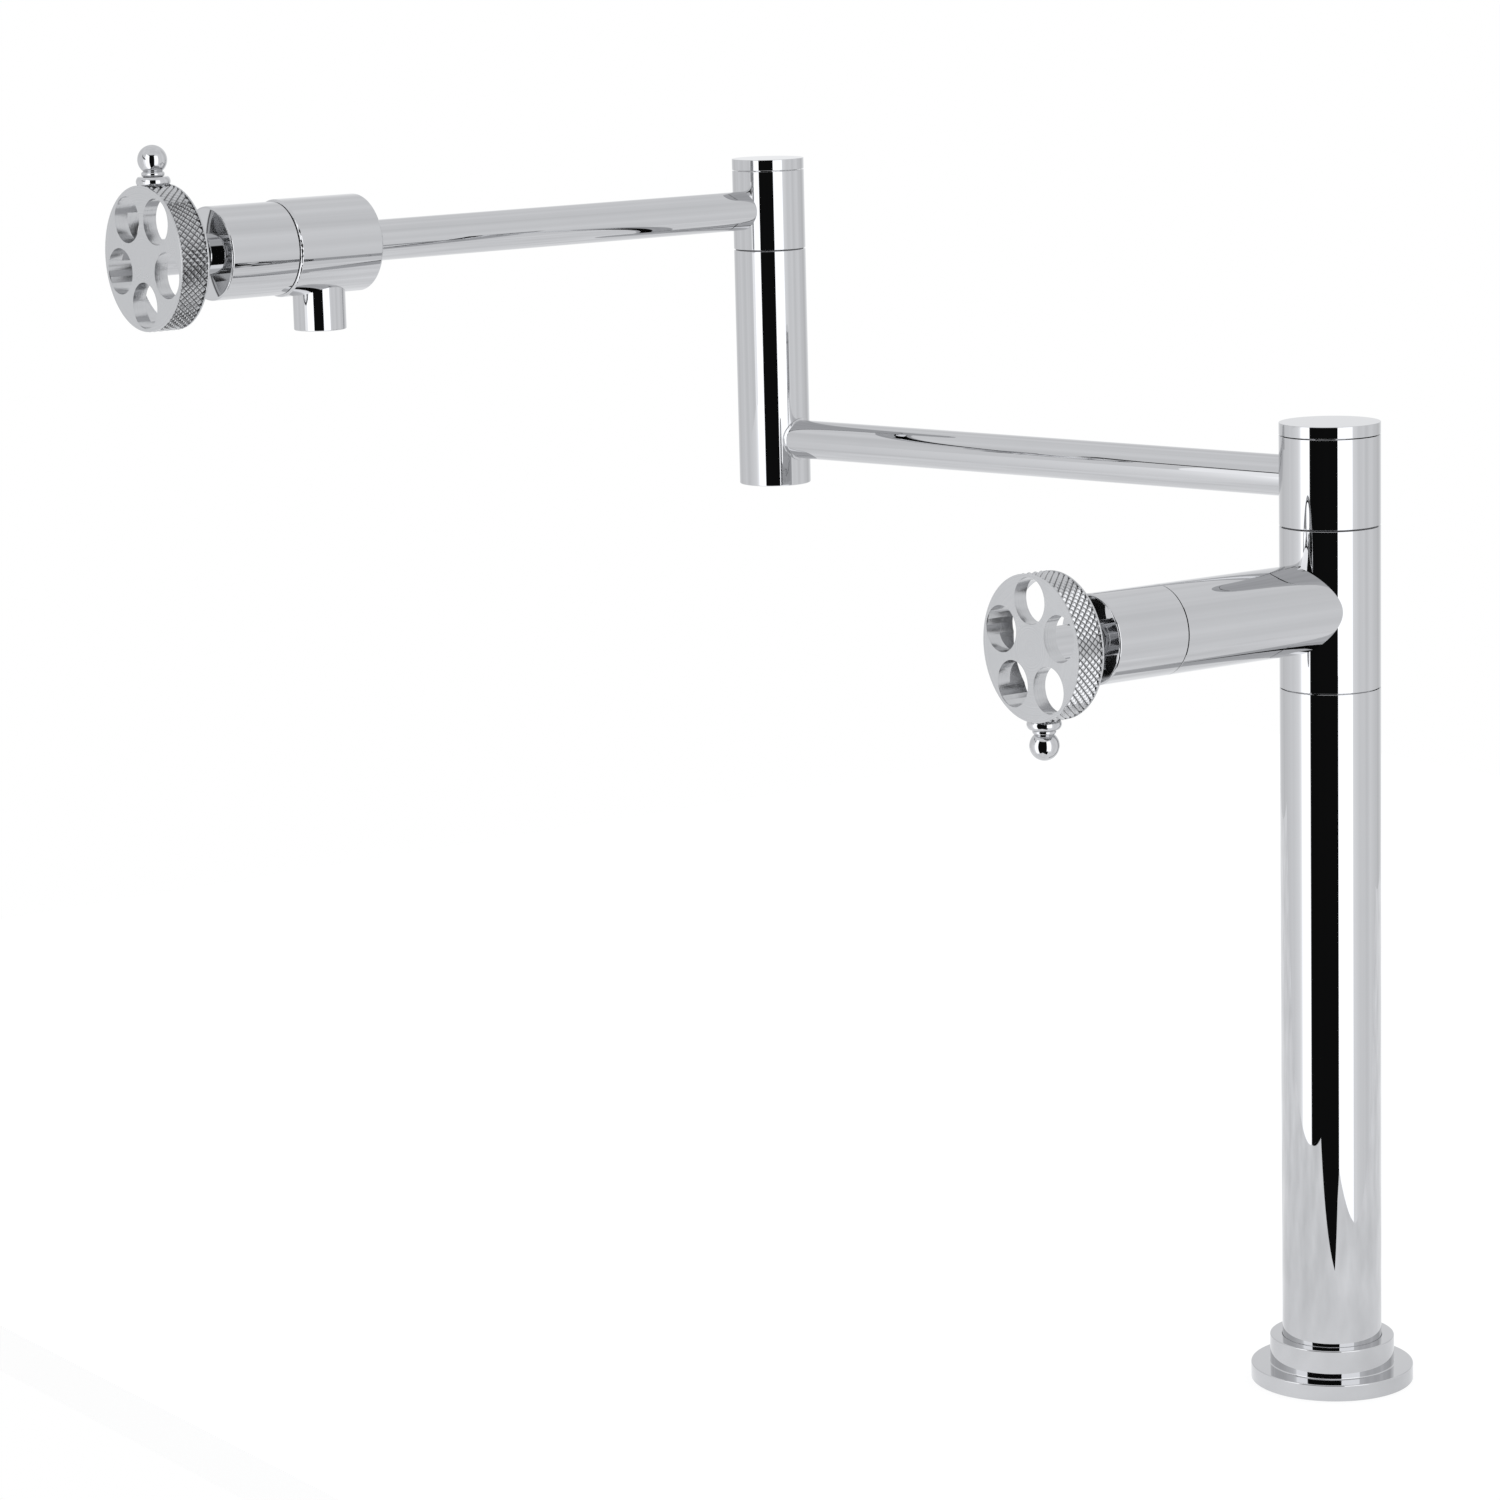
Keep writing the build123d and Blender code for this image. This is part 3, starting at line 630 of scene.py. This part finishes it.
def drill(obj, radius, low, high, place=None, sides=SIDES):
    """Cuts a round hole about Z, or about the line that a place stands for."""
    tool = add_drum("drill", radius, low, high, sides)
    if place:
        move_to(tool, place)
    combine(obj, tool, "DIFFERENCE")


def copy_of(obj, name):
    """Copy of a piece, with a mesh of its own."""
    twin = obj.copy()
    twin.data = obj.data.copy()
    twin.name = name
    twin.data.name = name
    bpy.context.scene.collection.objects.link(twin)
    return twin


def round_rims(obj, width, segments=3, angle=40.0):
    """Small rounding of every sharp edge."""
    modify(obj, "BEVEL", width=width, segments=segments, limit_method="ANGLE",
           angle_limit=math.radians(angle), use_clamp_overlap=True)


def smooth(obj, angle=35.0):
    """Smooth shading that stays true on flat and straight faces."""
    only(obj)
    bpy.ops.object.shade_smooth_by_angle(angle=math.radians(angle))
    modify(obj, "WEIGHTED_NORMAL", keep_sharp=True, weight=100)


def hand_over(obj, body, slot, *nodes):
    """The piece rides on a body, takes a slot's finish and stands for CAD nodes."""
    obj.data.materials.clear()
    obj.data.materials.append(finishes[slot])
    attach(obj, body)
    if nodes:
        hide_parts(*nodes)
    print(obj.name, len(obj.data.polygons), "faces")


print("slots to fill", sorted(finishes))

# %% [markdown]
# ## The base flange
# The foot is a polished plate with a raised collar round the riser. A drum is inset on top and
# raised into the collar, inset again for the riser's seat, and pushed down to make the seat.

# %% Base flange
flange_top = 0.0064
seat_floor = 0.0096
# Radius of the mounting shank as a share of its steel washer's
shank_share = 0.48
shank_radius = girth("deck_washer_steel", origin, UP) * shank_share
rim_rounding = 0.00045
flange_radius = girth("base_flange", origin, UP)
collar_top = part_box("base_flange")[1].z
collar_radius = 0.0238


def make_flange():
    flange = add_drum("polished_flange", flange_radius, 0, flange_top)
    only(flange)
    bpy.ops.object.mode_set(mode="EDIT")
    pick_faces(flange, lambda centre, normal: normal.z > LEVEL)
    bpy.ops.mesh.inset(thickness=flange_radius - collar_radius)
    push(collar_top - flange_top)
    bpy.ops.mesh.inset(thickness=collar_radius - column_radius)
    push(seat_floor - collar_top)
    bpy.ops.object.mode_set(mode="OBJECT")
    drill(flange, shank_radius, -CUT_MARGIN, seat_floor + CUT_MARGIN)
    round_rims(flange, rim_rounding)
    smooth(flange)
    hand_over(flange, "column", "polished_chrome", "base_flange")


make_flange()

# %% [markdown]
# ## The riser
# The riser is a plain tube. Its upper rim is broken by a small bevel, which draws the thin line
# that the photograph shows where it meets the valve body.

# %% Riser
riser_wall = 0.0015
seam_rounding = 0.00022
seam_slot = 0.00030


def make_riser():
    low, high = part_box("riser_tube")[0].z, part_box("riser_tube")[1].z
    riser = add_tube("riser", column_radius, column_radius - riser_wall, low, high, FINE_SIDES)
    round_rims(riser, seam_rounding)
    smooth(riser)
    hand_over(riser, "column", "polished_chrome", "riser_tube")


make_riser()

# %% [markdown]
# ## The valve body
# The column's middle has the branch of the valve growing out of its side. Two drums are joined
# by a boolean, because the crossing of two round bars is a curve that no primitive has. The
# chambers of the cartridge and of the pivot pin are cut out of them.

# %% Valve body
chamber_radius = 0.014
spigot_depth = 0.010
pin_radius = girth("column_swivel_pin", origin, UP)
branch_radius = girth("column_bonnet", branch_start, branch_line)
branch_length = reach("column_bonnet", branch_start, branch_line)[0]
branch_place = place_on(branch_start, branch_line, UP)


def make_valve_body():
    riser_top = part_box("riser_tube")[1].z
    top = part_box("valve_body")[1].z
    body = add_drum("valve_body_shell", column_radius, riser_top + seam_slot, top, FINE_SIDES)
    round_rims(body, seam_rounding)
    branch = add_drum("branch", branch_radius, 0, branch_length, FINE_SIDES)
    round_rims(branch, seam_rounding)
    move_to(branch, branch_place)
    combine(body, branch, "UNION")
    seat = reach("column_cartridge_seat", branch_start, branch_line)[0]
    drill(body, chamber_radius, seat, branch_length + CUT_MARGIN, branch_place)
    drill(body, pin_radius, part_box("column_swivel_pin")[0].z, top + CUT_MARGIN)
    spigot = add_drum("spigot", column_radius - riser_wall, riser_top - spigot_depth,
                      riser_top + OVERLAP)
    combine(body, spigot, "UNION")
    smooth(body, JOINED)
    hand_over(body, "column", "polished_chrome", "valve_body")


make_valve_body()

# %% [markdown]
# ## Heads and caps
# The swivel head and the elbow head are short shells that turn on their pins, each with a thin
# cap on top. An arm enters the side of each head through a round hole.

# %% Heads and caps
column_recess = 0.014
elbow_recess = 0.012
upper_place = place_on(upper_start, upper_line, UP)
lower_place = place_on(lower_start, lower_line, UP)


def make_head(name, node, radius, recess, centre, arm_place, body):
    low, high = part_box(node)[0].z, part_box(node)[1].z
    head = add_tube(name, radius, recess, low, high, FINE_SIDES)
    round_rims(head, seam_rounding)
    move_to(head, Matrix.Translation(centre))
    drill(head, arm_radius, 0, 2 * radius, arm_place)
    smooth(head, JOINED)
    hand_over(head, body, "polished_chrome", node)


def make_cap(name, node, radius, recess, centre, body, below):
    """Cap with a short skirt below its rim."""
    bottom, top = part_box(node)[0].z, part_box(node)[1].z
    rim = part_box(below)[1].z
    cap = add_drum(name, radius, rim + seam_slot, top, FINE_SIDES)
    round_rims(cap, seam_rounding)
    skirt = add_drum("skirt", recess, bottom, rim + OVERLAP)
    combine(cap, skirt, "UNION")
    move_to(cap, Matrix.Translation(centre))
    smooth(cap)
    hand_over(cap, body, "polished_chrome", node)


make_head("swivel_head_shell", "swivel_head", column_radius, column_recess, origin, lower_place,
          "lower_arm")
make_cap("column_top_cap", "column_cap", column_radius, column_recess, origin, "lower_arm",
         "swivel_head")
make_head("elbow_head_shell", "elbow_head", elbow_radius, elbow_recess, elbow, upper_place,
          "upper_arm")
make_cap("elbow_top_cap", "elbow_cap", elbow_radius, elbow_recess, elbow, "upper_arm",
         "elbow_head")

# %% [markdown]
# ## The arms
# Both arms are the same round tube, let into the heads at one end. They are modelled upright and
# laid along their lines.

# %% Arms
arm_wall = 0.0015


def make_arm(name, node, start, line, place, body):
    near, far = reach(node, start, line)
    arm = add_tube(name, arm_radius, arm_radius - arm_wall, near, far)
    move_to(arm, place)
    smooth(arm)
    hand_over(arm, body, "polished_chrome", node)


make_arm("lower_arm_bar", "lower_arm_tube", lower_start, lower_line, lower_place, "lower_arm")
make_arm("upper_arm_bar", "upper_arm_tube", upper_start, upper_line, upper_place, "upper_arm")

# %% [markdown]
# ## The elbow post
# The post stands at the end of the lower arm. A thin bead of braze runs round the tube where it
# meets the post. It follows the post's curve, so it is the part of a slightly wider drum that lies
# inside a slightly wider tube.

# %% Elbow post
bead_width = 0.0009
bead_height = 0.0006
bead_rounding = 0.8 * bead_height
elbow_place = Matrix.Translation(elbow)


def make_elbow_post():
    low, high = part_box("elbow_post")[0].z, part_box("elbow_post")[1].z
    post = add_drum("elbow_post_bar", elbow_radius, low, high, FINE_SIDES)
    round_rims(post, rim_rounding)
    move_to(post, elbow_place)
    joint = elbow.length - elbow_radius
    bead = add_drum("bead", elbow_radius + bead_height, lower_start.z - 2 * arm_radius,
                    lower_start.z + 2 * arm_radius, FINE_SIDES)
    move_to(bead, elbow_place)
    collar = add_drum("collar", arm_radius + bead_width, joint - elbow_radius, elbow.length,
                      FEW_SIDES)
    move_to(collar, lower_place)
    combine(bead, collar, "INTERSECT")
    round_rims(bead, bead_rounding, angle=30.0)
    combine(post, bead, "UNION")
    drill(post, arm_radius, joint - CUT_MARGIN, elbow.length - elbow_radius / 2, lower_place)
    drill(post, girth("elbow_swivel_pin", elbow, UP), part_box("elbow_swivel_pin")[0].z,
          high + CUT_MARGIN, elbow_place)
    smooth(post, JOINED)
    hand_over(post, "lower_arm", "polished_chrome", "elbow_post")


make_elbow_post()

# %% [markdown]
# ## The spout
# The spout is a level barrel with the outlet standing down from it. The outlet is a tube joined
# to the barrel by a boolean.

# %% Spout barrel
spout_start = reach("spout_body", upper_start, upper_line)[0]
spout_seam = reach("spout_bonnet", upper_start, upper_line)[0]
spout_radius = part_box("spout_body")[1].z - upper_start.z
outlet_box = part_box("aerator_housing")
outlet_centre = (outlet_box[0] + outlet_box[1]) / 2 * Vector((1, 1, 0))
outlet_place = Matrix.Translation(outlet_centre)
outlet_radius = 0.010
outlet_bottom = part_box("spout_body")[0].z
aerator_radius = girth("aerator_housing", outlet_centre, UP)
barrel_rounding = 0.0010
arm_seat_depth = 0.0036


def make_spout():
    barrel = add_drum("spout_barrel", spout_radius, spout_start, spout_seam, FINE_SIDES)
    round_rims(barrel, barrel_rounding, 5)
    move_to(barrel, upper_place)
    outlet = add_drum("outlet", outlet_radius, outlet_bottom, upper_start.z)
    round_rims(outlet, rim_rounding)
    move_to(outlet, outlet_place)
    combine(barrel, outlet, "UNION")
    seat = reach("spout_cartridge_seat", upper_start, upper_line)[0]
    drill(barrel, chamber_radius, seat, spout_seam + CUT_MARGIN, upper_place)
    drill(barrel, aerator_radius, outlet_bottom - CUT_MARGIN, upper_start.z, outlet_place)
    drill(barrel, arm_radius, 0, spout_start + arm_seat_depth, upper_place)
    smooth(barrel, JOINED)
    hand_over(barrel, "upper_arm", "polished_chrome", "spout_body")


make_spout()

# %% [markdown]
# ## The bonnets
# A bonnet is the turned cover that is screwed over each cartridge. Its profile is drawn and spun:
# a straight wall, a rounded shoulder, the flat end, and a short collar round the spindle.

# %% Bonnets
bonnet_rounding = 0.0008
bonnet_wall = 0.0026
collar_height = 0.003
spindle_hole = 0.0043
spindle_collar = 0.0075
column_end = column_valve_point.dot(branch_line)
spout_end = (spout_valve_point - upper_start).dot(upper_line)
column_valve = place_on(column_valve_point, branch_line, DOWN)
spout_valve = place_on(spout_valve_point, upper_line, UP)


def make_bonnet(name, node, radius, length, place, body):
    wall = radius - bonnet_wall
    shoulder = arc_points((radius - bonnet_rounding, -bonnet_rounding), bonnet_rounding, 0, 90, 6)
    foot = -length + seam_slot
    lip = arc_points((radius - seam_rounding, foot + seam_rounding), seam_rounding, -90, 0, 3)
    outline = [(wall, -length), (radius - bonnet_wall / 2, -length),
               (radius - bonnet_wall / 2, foot)] + lip + shoulder
    outline += [(spindle_collar, 0), (spindle_collar, collar_height - seam_rounding),
                (spindle_collar - seam_rounding, collar_height), (spindle_hole, collar_height),
                (spindle_hole, -bonnet_wall), (wall, -bonnet_wall), (wall, -length)]
    bonnet = add_turned(name, outline, FINE_SIDES)
    smooth(bonnet)
    move_to(bonnet, place)
    hand_over(bonnet, body, "polished_chrome", node)


column_bonnet_length = column_end - branch_length
make_bonnet("column_valve_cover", "column_bonnet", branch_radius, column_bonnet_length,
            column_valve, "column")
spout_bonnet_radius = girth("spout_bonnet", upper_start, upper_line)
make_bonnet("spout_valve_cover", "spout_bonnet", spout_bonnet_radius, spout_end - spout_seam,
            spout_valve, "upper_arm")

# %% [markdown]
# ## The knurled rim
# The wheel is the piece that takes the most care. Its rim is diamond knurled and its web has a
# ring of five round holes. The knurl is built the way the tool cuts it: a ring of edges is
# extruded along the axis in even steps and turned by half a pitch at each step. The squares that
# result are split along their slant and joined across it, which makes a field of diamonds, and
# Poke raises each diamond into a small pyramid.

# %% Knurled band
knurl_count = 60
knurl_rows = 8
lip_width = 0.00065
waist_radius = wheel_radius - 1.5 * knurl_depth
band_inside = wheel_radius - 2.0 * knurl_depth


def make_knurl():
    """Ring whose outside is a field of small pyramids."""
    low, high = wheel_back + lip_width / 2, wheel_front - lip_width / 2
    step = (high - low) / knurl_rows
    bpy.ops.object.select_all(action="DESELECT")
    bpy.ops.mesh.primitive_circle_add(vertices=knurl_count, radius=groove_floor,
                                      location=(0, 0, low))
    band = bpy.context.object
    bpy.ops.object.transform_apply(location=True, rotation=False, scale=False)
    bpy.ops.object.mode_set(mode="EDIT")
    bpy.ops.mesh.select_mode(type="VERT")
    bpy.ops.mesh.select_all(action="SELECT")
    half_pitch = math.pi / knurl_count
    for row in range(knurl_rows):
        bpy.ops.mesh.extrude_region_move(TRANSFORM_OT_translate={"value": (0, 0, step)})
        bpy.ops.transform.rotate(value=half_pitch if row % 2 else -half_pitch, orient_axis="Z",
                                 center_override=(0, 0, low + step * (row + 1)))
    bpy.ops.mesh.select_mode(type="FACE")
    bpy.ops.mesh.select_all(action="SELECT")
    bpy.ops.mesh.normals_make_consistent(inside=False)
    bpy.ops.mesh.quads_convert_to_tris(quad_method="SHORTEST_DIAGONAL")
    pick_edges(band, lambda edge: len(edge.link_faces) == 2
               and abs(edge.verts[0].co.z - edge.verts[1].co.z) < TINY)
    bpy.ops.mesh.dissolve_edges(use_verts=False)
    bpy.ops.mesh.select_mode(type="FACE")
    bpy.ops.mesh.select_all(action="SELECT")
    bpy.ops.mesh.poke(offset=knurl_depth)
    pick_edges(band, lambda edge: len(edge.link_faces) == 1)
    bpy.ops.mesh.extrude_region_move(TRANSFORM_OT_translate={"value": (0, 0, 0)})
    shrink = band_inside / groove_floor
    bpy.ops.transform.resize(value=(shrink, shrink, 1),
                             center_override=(0, 0, (low + high) / 2))
    bpy.ops.mesh.bridge_edge_loops()
    bpy.ops.mesh.select_all(action="SELECT")
    bpy.ops.mesh.normals_make_consistent(inside=False)
    bpy.ops.object.mode_set(mode="OBJECT")
    return band


print("diamonds", knurl_count * knurl_rows, "of depth", knurl_depth)

# %% [markdown]
# ## The wheel's body
# A drum gets a waist for the knurled band, a recess behind the web, and five holes, each cut by
# a copy of one cutter. The rims are rounded before the band is joined on, so the diamonds stay
# crisp. Both valves have the same wheel, so it is modelled once and copied.

# %% Wheels
hole_count = 5
hole_radius = 0.0086
hole_pitch = 0.0173
recess_radius = 0.0245
web_thick = 0.0055
lip_setback = 0.00022
wheel_rounding = 0.00018


def make_wheel(name):
    wheel = add_drum(name, wheel_radius - lip_setback, wheel_back, wheel_front, FINE_SIDES)
    middle_low, middle_high = wheel_back + lip_width, wheel_front - lip_width
    waist = add_tube("waist", wheel_radius + CUT_MARGIN, waist_radius, middle_low, middle_high,
                     FINE_SIDES)
    combine(wheel, waist, "DIFFERENCE")
    drill(wheel, recess_radius, wheel_back - CUT_MARGIN, wheel_front - web_thick)
    cutter = add_drum("cutter", hole_radius, wheel_back - CUT_MARGIN, wheel_front + CUT_MARGIN,
                      FEW_SIDES)
    for number in range(hole_count):
        turn = 2 * math.pi / hole_count * (number + 0.5)
        spot = (hole_pitch * math.cos(turn), hole_pitch * math.sin(turn), 0)
        hole = copy_of(cutter, "hole")
        move_to(hole, Matrix.Translation(spot))
        combine(wheel, hole, "DIFFERENCE")
    bpy.data.objects.remove(cutter)
    round_rims(wheel, wheel_rounding, 2)
    smooth(wheel, 30.0)
    knurl = make_knurl()
    only(wheel)
    knurl.select_set(True)
    bpy.ops.object.join()
    return wheel


def fit_pair(piece, spout_name, column_node, spout_node, slot, local=Matrix()):
    """Lays a piece on the column's valve, and a copy of it on the spout's."""
    twin = copy_of(piece, spout_name)
    for obj, node, place, body in ((piece, column_node, column_valve, "column_handle"),
                                   (twin, spout_node, spout_valve, "spout_handle")):
        move_to(obj, place @ local)
        hand_over(obj, body, slot, node)


fit_pair(make_wheel("column_knurled_wheel"), "spout_knurled_wheel", "column_handwheel",
         "spout_handwheel", "wheel_chrome")

# %% [markdown]
# ## Finials
# The finial is a ball on a bead and a rounded disc. All three are arcs of one profile, which is
# spun and then turned out along the wheel's radius.

# %% Finials
finial_seat = 0.0264
disc_edge = 0.0056
disc_radius = 0.0064
disc_middle, disc_top = 0.0283, 0.0299
bead_neck, bead_radius = 0.0036, 0.00435
bead_middle, ball_start = 0.0309, 0.0319
ball_centre, ball_radius = 0.0361, 0.0055


def bulge(start, widest, end, count):
    """Points of the arc through a start, its widest point and an end."""
    (r1, z1), (r2, z2), (r3, z3) = start, widest, end
    spread = 2 * (r1 * (z2 - z3) + r2 * (z3 - z1) + r3 * (z1 - z2))
    square1, square2, square3 = r1 * r1 + z1 * z1, r2 * r2 + z2 * z2, r3 * r3 + z3 * z3
    centre_r = (square1 * (z2 - z3) + square2 * (z3 - z1) + square3 * (z1 - z2)) / spread
    centre_z = (square1 * (r3 - r2) + square2 * (r1 - r3) + square3 * (r2 - r1)) / spread
    size = math.hypot(r1 - centre_r, z1 - centre_z)
    first = math.degrees(math.atan2(z1 - centre_z, r1 - centre_r))
    last = math.degrees(math.atan2(z3 - centre_z, r3 - centre_r))
    return arc_points((centre_r, centre_z), size, first, last, count)


def make_finial(name):
    neck = math.sqrt(ball_radius ** 2 - (ball_centre - ball_start) ** 2)
    start_angle = math.degrees(math.asin((ball_start - ball_centre) / ball_radius))
    outline = [(0, finial_seat)]
    outline += bulge((disc_edge, finial_seat), (disc_radius, disc_middle),
                     (disc_edge, disc_top), 10)
    outline += bulge((bead_neck, disc_top), (bead_radius, bead_middle), (neck, ball_start), 8)
    outline += arc_points((0, ball_centre), ball_radius, start_angle, 90, 28)[1:]
    finial = add_turned(name, outline, FEW_SIDES)
    smooth(finial, 40.0)
    return finial


outward = (Matrix.Translation((0, 0, (wheel_back + wheel_front) / 2))
           @ Matrix.Rotation(math.radians(90), 4, "Y"))
fit_pair(make_finial("column_ball_finial"), "spout_ball_finial", "column_finial", "spout_finial",
         "polished_chrome", outward)

# %% [markdown]
# ## Hubs
# The hub is a short boss behind the web. It holds a grub screw against the spindle, so a small
# hole goes into its side where the CAD model has the screw.

# %% Hubs
screw_hole_radius = 0.002
screw_hole_start, screw_hole_end = 0.001, 0.02
screw_hole_sides = 48


def make_hub(name):
    hub_start, hub_end = reach("column_hub", column_valve_point, branch_line)
    hub = add_drum(name, girth("column_hub", column_valve_point, branch_line), hub_start,
                   wheel_front - web_thick)
    round_rims(hub, rim_rounding)
    screw_start, screw_end = reach("column_grub_screw", column_valve_point, branch_line)
    along = Matrix.Translation((0, 0, (screw_start + screw_end) / 2))
    drill(hub, screw_hole_radius, screw_hole_start, screw_hole_end,
          along @ Matrix.Rotation(math.radians(-90), 4, "Y"), screw_hole_sides)
    smooth(hub, 30.0)
    print("hub from", round(hub_start, 4), "to", round(hub_end, 4))
    return hub


fit_pair(make_hub("column_wheel_hub"), "spout_wheel_hub", "column_hub", "spout_hub",
         "polished_chrome")

# %% [markdown]
# ## Plain light
# The studio round the object needs materials that only shine, so that a sheet of cloth has the
# same tone from wherever a reflection sees it.

# %% Plain light
def emission_material(name, colour):
    material = bpy.data.materials.new(name)
    material.use_nodes = True
    tree = material.node_tree
    tree.nodes.clear()
    glow = add_node(tree, "ShaderNodeEmission", {"Color": colour})
    output = add_node(tree, "ShaderNodeOutputMaterial")
    wire(tree, (glow, "Emission", output, "Surface"))
    return material, tree, glow


bright_cloth = emission_material("bright_cloth", grey(WHITE))[0]
print("bright cloth", WHITE, "times white")

# %% [markdown]
# ## The table's paper and painted glow
# The camera sees the table as white paper that still takes a trace of shadow. Reflections see it
# glow as pale cloth, with painted light and shade of soft creases. Light Path tells the two apart,
# and a quarter of a plain shader stays mixed in, which holds the shadow.

# %% Table material
def table_material():
    """White paper to the camera, painted light of pale grey cloth in reflections, both with a share of true
    shading.
    """
    material = bpy.data.materials.new("pale_glowing_table")
    material.use_nodes = True
    tree = material.node_tree
    shader = tree.nodes["Principled BSDF"]
    shader.inputs["Roughness"].default_value = 0.7
    shader.inputs["Base Color"].default_value = (0.80, 0.80, 0.80, 1)
    table_glow = add_node(tree, "ShaderNodeEmission")
    light_path = add_node(tree, "ShaderNodeLightPath")
    tone = add_node(tree, "ShaderNodeMix", {"B": (1.15, 1.15, 1.15, 1)}, data_type="RGBA")
    place = add_node(tree, "ShaderNodeTexCoord")
    # Painted light and shade of creases: a noise that makes the table's glow lighter and darker
    crease_light_noise = add_node(tree, "ShaderNodeTexNoise", {"Scale": 9.0, "Detail": 3.0})
    painted_cloth_light = add_node(tree, "ShaderNodeValToRGB")
    # Painted light: reflections see the table glow between these greys, as lit cloth
    low, high = painted_cloth_light.color_ramp.elements
    low.color, high.color = grey(0.98 * TENT), grey(1.36 * TENT)
    low.position, high.position = 0.3, 0.8
    both = add_node(tree, "ShaderNodeMixShader", {"Fac": 0.75})
    wire(tree,
         (place, "Object", crease_light_noise, "Vector"), (crease_light_noise, "Fac", painted_cloth_light, "Fac"),
         (painted_cloth_light, "Color", tone, "A"), (light_path, "Is Camera Ray", tone, "Factor"),
         (tone, "Result", table_glow, "Color"), (shader, "BSDF", both, 1),
         (table_glow, "Emission", both, 2),
         (both, "Shader", tree.nodes["Material Output"], "Surface"))
    return material


pale_glowing_table = table_material()
print("table nodes", len(pale_glowing_table.node_tree.nodes))

# %% [markdown]
# ## The table
# The riser's lower half mirrors the table's front edge as a dark spire, because the table ends in
# a step there. So the table is a slab with that outline, traced back from the reflection.

# %% Table
# Outline in plan, in metres
table_outline = ((-1.1, -0.376), (0.02, -0.371), (0.157, -0.352), (0.144, -0.103),
                 (0.247, -0.137), (0.300, -0.1405), (0.274, -0.051), (0.238, 0.052), (0.20, 0.9),
                 (-1.1, 0.9))
table_top = -0.0002
table_thick = 0.02


def make_table():
    table = draw_line("table", [(x, y, table_top) for x, y in table_outline])
    bpy.ops.mesh.edge_face_add()
    bpy.ops.mesh.extrude_region_move(TRANSFORM_OT_translate={"value": (0, 0, -table_thick)})
    bpy.ops.mesh.select_all(action="SELECT")
    bpy.ops.mesh.normals_make_consistent(inside=False)
    bpy.ops.object.mode_set(mode="OBJECT")
    table.data.materials.append(pale_glowing_table)


make_table()
print("table corners", len(table_outline))

# %% [markdown]
# ## Softboxes
# Each softbox is a line of points in plan, pulled up into a sheet. They stand close, so each
# tube sees their edges in its own place, and a far sky could not show that.

# %% Softbox lines
left_line = ((0.0215, -0.690), (-0.222, -0.6634))
edge_line = ((-0.222, -0.6634), (-0.305, -0.654))
low_line = ((0.0215, -0.690), (-0.305, -0.654), (-0.471, -0.454))
left_low, left_middle, left_edge, left_high = -0.35, 0.30, 0.50, 0.75
right_line = ((1.577, -0.729), (1.75, 0.31))
right_low, right_high = -0.9, 1.6
batten = ((-0.20, -0.65, 0.490), (-0.266, -0.65, 0.512), (-0.359, -0.65, 0.568),
          (-0.41, -0.65, 0.640))


def add_upright(name, points, height, material):
    """Upright sheet that only reflections see, from a line of points up to a height."""
    panel = draw_line(name, points)
    bpy.ops.mesh.extrude_region_move(TRANSFORM_OT_translate={"value": (0, 0, height)})
    bpy.ops.object.mode_set(mode="OBJECT")
    panel.data.materials.append(material)
    panel.visible_camera = False
    panel.visible_shadow = False
    panel.visible_diffuse = False


def stand(name, line, low, high, material):
    add_upright(name, [(x, y, low) for x, y in line], high - low, material)


print("batten points", len(batten))

# %% [markdown]
# ## Cloth that fades
# The left softbox is brightest beside the dark gap and dies away from it, as a lamp behind cloth
# does. So the glow follows a ramp along X.

# %% Fading cloth
def fading_cloth():
    material, tree, glow = emission_material("fading_cloth", (1, 1, 1, 1))
    place = add_node(tree, "ShaderNodeTexCoord")
    parts = add_node(tree, "ShaderNodeSeparateXYZ")
    along = add_node(tree, "ShaderNodeMapRange",
                     {"From Min": low_line[-1][0], "From Max": left_line[0][0]})
    fade = add_node(tree, "ShaderNodeValToRGB")
    fade.color_ramp.elements[0].color = grey(TENT)
    fade.color_ramp.elements[1].color = grey(WHITE)
    for position, value in ((0.27, 1.12), (0.40, 1.36), (0.49, WHITE)):
        fade.color_ramp.elements.new(position).color = grey(value)
    wire(tree,
         (place, "Object", parts, "Vector"), (parts, "X", along, "Value"),
         (along, "Result", fade, "Fac"), (fade, "Color", glow, "Color"))
    return material


low_cloth = fading_cloth()
print("fading cloth nodes", len(low_cloth.node_tree.nodes))

# %% [markdown]
# ## Standing the softboxes
# The left softbox is bright beside the gap and dimmer at its far edge. Its lower part fades out,
# plain cloth hangs above its far edge, and a dark batten crosses it, which the lower arm mirrors
# as one thin line. The right softbox stands far out to the side.

# %% Softboxes
batten_height = 0.042
cloth_rise = 0.5
dim_tone = 1.42
batten_tone = 0.06 * TENT
plain_cloth = emission_material("plain_cloth", grey(TENT))[0]
dim_cloth = emission_material("dim_cloth", grey(dim_tone))[0]
dark_batten = emission_material("dark_batten", grey(batten_tone))[0]
stand("left_softbox", left_line, left_middle, left_high, bright_cloth)
stand("left_edge", edge_line, left_middle, left_edge, dim_cloth)
stand("left_cloth", edge_line, left_edge, left_high + cloth_rise, plain_cloth)
stand("left_low_softbox", low_line, left_low, left_middle, low_cloth)
stand("right_softbox", right_line, right_low, right_high, bright_cloth)
add_upright("tent_batten", batten, batten_height, dark_batten)

# %% Update
bpy.context.view_layer.update()
